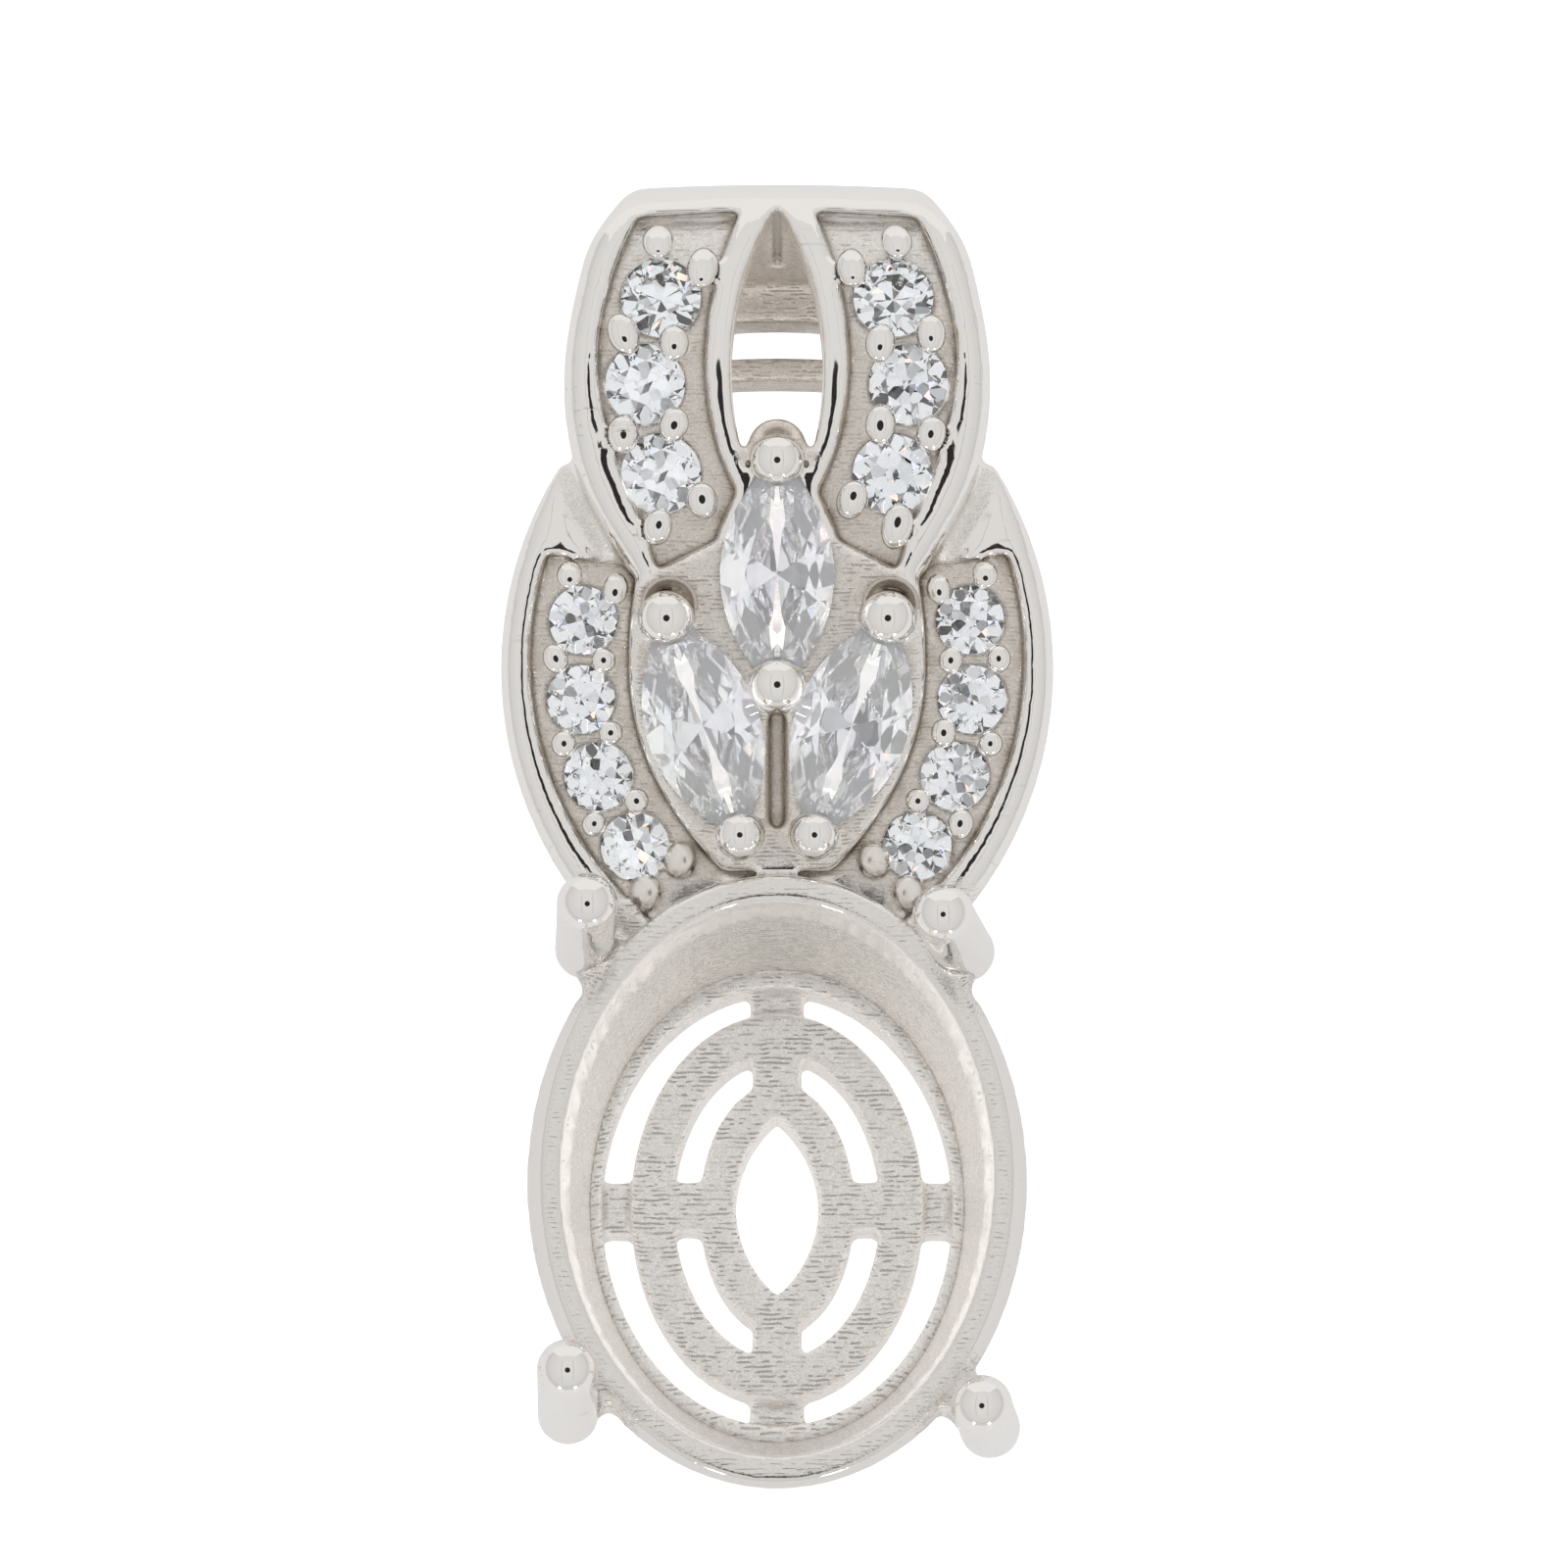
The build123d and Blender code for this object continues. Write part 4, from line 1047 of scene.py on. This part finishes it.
class SETTING_OT_trefoil_prongs(bpy.types.Operator):
    """Six round prongs over the points of the marquise stones"""

    bl_idname = "setting.trefoil_prongs"
    bl_label = "Trefoil prongs"

    def execute(self, context):
        skins = []
        for x, reach, radius in TREFOIL_PRONGS:
            skin = ball_prong(radius, -0.45, 0.42, 0.97)
            # The prongs stand square to the flat plate, not to the bent part of the face
            place = Matrix.Translation((x, FACE_START, FACE_RISE))
            place @= Matrix.Rotation(FACE_TILT, 4, "X") @ Matrix.Translation((0, reach, -0.04))
            skins.append(moved(skin, place))
        joined("trefoil_prongs", skins, prong_material())
        return {"FINISHED"}


def part_turned(profile, start, end, steps):
    """Closed profile swept about the axis between two angles, with closed ends."""
    skin = bmesh.new()
    rings = []
    for i in range(steps + 1):
        turn = math.radians(start + (end - start) * i / steps)
        spots = [(out * math.cos(turn), out * math.sin(turn), high) for out, high in profile]
        rings.append([skin.verts.new(spot) for spot in spots])
    for ring, following in zip(rings, rings[1:]):
        for j in range(len(profile)):
            k = (j + 1) % len(profile)
            skin.faces.new((ring[j], following[j], following[k], ring[k]))
    skin.faces.new(rings[0])
    skin.faces.new(rings[-1][::-1])
    bmesh.ops.recalc_face_normals(skin, faces=skin.faces)
    return skin


class SETTING_OT_prong_hoods(bpy.types.Operator):
    """Cast hoods left standing behind the two upper side prongs"""

    bl_idname = "setting.prong_hoods"
    bl_label = "Prong hoods"

    def execute(self, context):
        profile = [(0.3, -0.06), (0.51, -0.06), (0.5, 0.18), (0.48, 0.27), (0.455, 0.28)]
        profile += [(0.43, 0.25), (0.36, 0.06), (0.3, 0.02)]
        skins = []
        for across, reach, _ in TREFOIL_PRONGS:
            if not 4.0 < reach < 7.0:
                continue
            skin = part_turned(profile, -8, 188, 40)
            skins.append(moved(skin, face_matrix(across + 0.05, reach + 0.24, 0.04)))
        mesh = joined("prong_hoods", skins, casting_material()).data
        # The hoods are matte satin with painted shade and no painted light
        values = {"satin": 1.0, "dull": 1.0, "painted_shade": 0.55, "brush": 0.1, "painted_light": 0.0}
        for name, value in values.items():
            add_attribute(mesh, name, np.full(len(mesh.vertices), value))
        return {"FINISHED"}


class SETTING_OT_basket_prongs(bpy.types.Operator):
    """Four tall prongs of the oval basket, as they lean before a stone is set"""

    bl_idname = "setting.basket_prongs"
    bl_label = "Basket prongs"

    def execute(self, context):
        radius = sizes().basket_prong / MM
        skins = []
        for row in BASKET_PRONGS:
            foot, tip = prong_line(row)
            way = tip - foot
            foot_dome = soft_dome(radius, radius, 1.0, 12)
            profile = [(out, -height) for out, height in reversed(foot_dome)]
            profile += [(radius * 0.99, way.length * share) for share in (0.2, 0.4, 0.6, 0.8, 0.92)]
            for out, height in soft_dome(radius, radius, 1.0, 24):
                profile.append((out, way.length + height))
            skin = revolved(profile, 64)
            turn = way.to_track_quat("Z", "Y").to_matrix().to_4x4()
            skins.append(moved(skin, Matrix.Translation(foot) @ turn))
        joined("basket_prongs", skins, prong_material())
        return {"FINISHED"}


# Stones


def set_stone(node, material, turn, tips):
    """The cut stone of one seat, turned about its own axis and tipped in degrees."""
    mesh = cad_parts[node].data.copy()
    points = mesh_points(mesh)
    low, high = points.min(0), points.max(0)
    centre = Vector((low + high) / 2)
    bend = face_coordinates(np.array([centre]) / MM)[2]
    upright = Matrix.Rotation(FACE_TILT - bend[0], 4, "X")
    tip = Matrix.Rotation(math.radians(tips[0]), 4, "X")
    tip @= Matrix.Rotation(math.radians(tips[1]), 4, "Y")
    there, back = Matrix.Translation(centre), Matrix.Translation(-centre)
    mesh.transform(there @ upright @ tip @ turn @ upright.inverted() @ back)
    mesh.materials.clear()
    mesh.materials.append(material)
    mesh.shade_flat()
    piece = object_from(f"cut_{node}", mesh)
    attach(piece, ROOT)
    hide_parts(node)


class SETTING_OT_stones(bpy.types.Operator):
    """Set stones, each turned and tipped a little in its seat"""

    bl_idname = "setting.stones"
    bl_label = "Stones"

    def execute(self, context):
        index = finish().stone_index
        rounds = stone_material("round stone", 0.1, 0.0, index, 1.0)
        # The marquises get a faint painted glow, the rounds none
        marquises = stone_material("marquise stone", 0.3, 0.042, index - 0.2, 0.9)
        chance = np.random.default_rng(11)
        for name in BAIL_STONES + SHIELD_STONES:
            turn = Matrix.Rotation(math.radians(chance.uniform(0, 45)), 4, "Z")
            set_stone(name, rounds, turn, chance.uniform(-4.2, 4.2, 2))
        for name in MARQUISES:
            set_stone(name, marquises, Matrix(), chance.uniform(-1.2, 1.2, 2))
        return {"FINISHED"}


# Stage


def glow_material(name, tint, strength):
    inputs = {"Color": colour(tint), "Strength": strength}
    return shaded(name, "ShaderNodeEmission", inputs)[0]


def unseen(thing, *rays):
    """Stage piece that rays of these kinds pass by."""
    for ray in rays:
        setattr(thing, f"visible_{ray}", False)
    return thing


def panel(name, centre, facing, width, height, material, corners=4):
    """Flat part of the tent that only mirrors and stones see."""
    skin = bmesh.new()
    if corners == 4:
        bmesh.ops.create_grid(skin, x_segments=1, y_segments=1, size=0.5)
        bmesh.ops.scale(skin, vec=(width, height, 1), verts=skin.verts)
    else:
        bmesh.ops.create_circle(skin, cap_ends=True, segments=corners, radius=width)
    turn = Vector(facing).to_track_quat("Z", "Y").to_matrix().to_4x4()
    place = Matrix.Translation(centre) @ turn
    made = object_from(name, mesh_from(name, skin, material), place)
    return unseen(made, "camera", "diffuse", "shadow")


def sky_material():
    """Folds, gaps and lamps of the tent, which the facets of the stones pick out."""
    material, graph, glow = shaded("tent folds", "ShaderNodeEmission", {})
    place = graph.place()
    cells = graph.node("ShaderNodeTexVoronoi", {"Vector": place, "Scale": 52.0})
    chance = graph.node("ShaderNodeSeparateColor", {0: cells.outputs["Color"]}).outputs
    over = graph.maths("DIVIDE", graph.axes(place)[2], SKY_RADIUS)
    tone = graph.product(
        graph.spread(over, 0.9965, 0.998, 1.0, 0.2),
        graph.spread(over, 0.2, 0.55, 0.8, 1.0),
        graph.spread(graph.noise(place, 13.0, 1.0), 0.38, 0.52, 0.06, 1.0),
    )
    flash = graph.spread(chance[1], 0.965, 0.97, 0.0, 1.0)
    hue = graph.blend(chance[2], colour((1.0, 0.66, 0.42)), colour((0.5, 0.62, 1.0)))
    tint = graph.blend(flash, colour((0.96, 0.98, 1.0)), hue)
    graph.fill(glow, {"Color": tint, "Strength": graph.mix(flash, tone, 1.8)})
    return material


def stone_sky():
    """Upper half of a ball round the setting that only light through the stones sees."""
    skin = bmesh.new()
    bmesh.ops.create_icosphere(skin, subdivisions=4, radius=SKY_RADIUS)
    low = [vert for vert in skin.verts if vert.co.z < -0.05]
    bmesh.ops.delete(skin, geom=low, context="VERTS")
    made = object_from("tent_folds", mesh_from("tent_folds", skin, sky_material()))
    return unseen(made, "camera", "diffuse", "glossy", "shadow")


def light_floor(look):
    """Pale floor, white to the camera and dimmer through the stones."""
    skin = bmesh.new()
    bmesh.ops.create_grid(skin, x_segments=1, y_segments=1, size=1.5)
    inputs = {"Base Color": colour(look.floor), "Roughness": 0.6, "Emission Color": (1, 1, 1, 1)}
    material, graph, shader = shaded("light floor", "ShaderNodeBsdfPrincipled", inputs)
    path = graph.node("ShaderNodeLightPath").outputs
    seen = graph.maths("MAXIMUM", path["Is Camera Ray"], path["Is Transmission Ray"])
    lit = graph.mix(path["Is Transmission Ray"], 0.8, 0.3)
    graph.feed(shader.inputs["Emission Strength"], graph.mix(seen, 0.13, lit))
    mesh = mesh_from("light_floor", skin, material)
    object_from("light_floor", mesh, Matrix.Translation((0, 0, -0.02 * MM)))


def light_tent(scene, look):
    """Tent that darkens where it meets the table and in a fold above it."""
    world = bpy.data.worlds.new("tent")
    scene.world = world
    world.use_nodes = True
    tent = Graph(world.node_tree)
    height = tent.axes(tent.node("ShaderNodeTexCoord").outputs["Generated"])[2]
    above = tent.spread(height, 0.19, 0.24, 0.72, 1.0)
    under = tent.spread(height, 0.15, 0.19, 1.0, 0.72)
    light = tent.product(
        tent.spread(height, 0.0, 0.1, 0.82, 1.0),
        tent.maths("MAXIMUM", above, under),
        tent.spread(height, 0.3, 1.0, 0.98, 1.08),
        look.tent,
    )
    tint = (1.0, 0.993, 0.98, 1)
    tent.fill(world.node_tree.nodes["Background"], {"Color": tint, "Strength": light})
    world.cycles.sampling_method = "NONE"


def picture_camera(scene, aim, away, distance):
    camera = bpy.data.cameras.new("camera")
    camera.sensor_width, camera.lens = SENSOR_WIDTH, LENS_LENGTH
    camera.clip_start, camera.clip_end = 0.01, 10.0
    eye = object_from("camera", camera)
    eye.location = aim + away * distance
    eye.rotation_euler = away.to_track_quat("Z", "Y").to_euler()
    scene.camera = eye
    return eye


class SETTING_OT_stage(bpy.types.Operator):
    """Camera, light floor, tent and lamps"""

    bl_idname = "setting.stage"
    bl_label = "Stage"

    def execute(self, context):
        look = stage()
        scene = context.scene
        light_floor(look)
        light_tent(scene, look)
        aim = Vector(PICTURE_CENTRE) * MM
        away = Vector((0, -math.sin(FACE_TILT), math.cos(FACE_TILT)))
        eye = picture_camera(scene, aim, away, look.distance)

        dark = glow_material("lens dark", (0.03, 0.025, 0.025), 1.0)
        bright = glow_material("tent band", (1.0, 0.99, 0.975), 0.86)
        lamp = glow_material("lamp", (1.0, 0.98, 0.94), 12.0)
        seam = glow_material("tent seam", (0.36, 0.34, 0.33), 1.0)
        lens_at = aim + away * (look.distance * 1.05)
        lens = panel("lens", lens_at, -away, look.lens, look.lens, dark, 40)
        lens.visible_transmission = False
        sky = stone_sky()
        sky.location = aim
        sky.rotation_euler = eye.rotation_euler
        panel("tent_back", (0, 0.26, 0.14), (0, -1, 0.2), 0.42, 0.36, bright)
        for side in (-1, 1):
            spot = Vector((side * 0.09, -0.22, 0.022))
            panel(f"lamp_{side + 1}", spot, -spot, 0.016, 0.016, lamp, 24)
            strip = aim + away * 0.25 + Vector((side * 0.1, 0, 0))
            panel(f"seam_{side + 1}", strip, -away, 0.006, 0.4, seam)
        scene.view_settings.view_transform = "Standard"
        scene.view_settings.look = "None"
        return {"FINISHED"}


class SETTING_PT_panel(bpy.types.Panel):
    """Pieces of the setting, in the order that they are made"""

    bl_label = "Pendant setting"
    bl_idname = "SETTING_PT_panel"
    bl_space_type = "VIEW_3D"
    bl_region_type = "UI"
    bl_category = "Setting"

    def draw(self, context):
        scene = context.scene
        for group in (scene.setting_sizes, scene.setting_finish, scene.setting_stage):
            box = self.layout.box()
            for name in group.__annotations__:
                box.prop(group, name)
        for operator in OPERATORS:
            self.layout.operator(operator.bl_idname)


OPERATORS = (
    SETTING_OT_casting,
    SETTING_OT_row_beads,
    SETTING_OT_trefoil_prongs,
    SETTING_OT_prong_hoods,
    SETTING_OT_basket_prongs,
    SETTING_OT_stones,
    SETTING_OT_stage,
)
CLASSES = (SettingSizes, SettingFinish, SettingStage, *OPERATORS, SETTING_PT_panel)


def register():
    for kind in CLASSES:
        bpy.utils.register_class(kind)
    bpy.types.Scene.setting_sizes = PointerProperty(type=SettingSizes)
    bpy.types.Scene.setting_finish = PointerProperty(type=SettingFinish)
    bpy.types.Scene.setting_stage = PointerProperty(type=SettingStage)


def unregister():
    del bpy.types.Scene.setting_stage
    del bpy.types.Scene.setting_finish
    del bpy.types.Scene.setting_sizes
    for kind in reversed(CLASSES):
        bpy.utils.unregister_class(kind)


def main():
    register()
    bpy.ops.setting.casting()
    bpy.ops.setting.row_beads()
    bpy.ops.setting.trefoil_prongs()
    bpy.ops.setting.prong_hoods()
    bpy.ops.setting.basket_prongs()
    bpy.ops.setting.stones()
    bpy.ops.setting.stage()


if __name__ == "__main__":
    main()
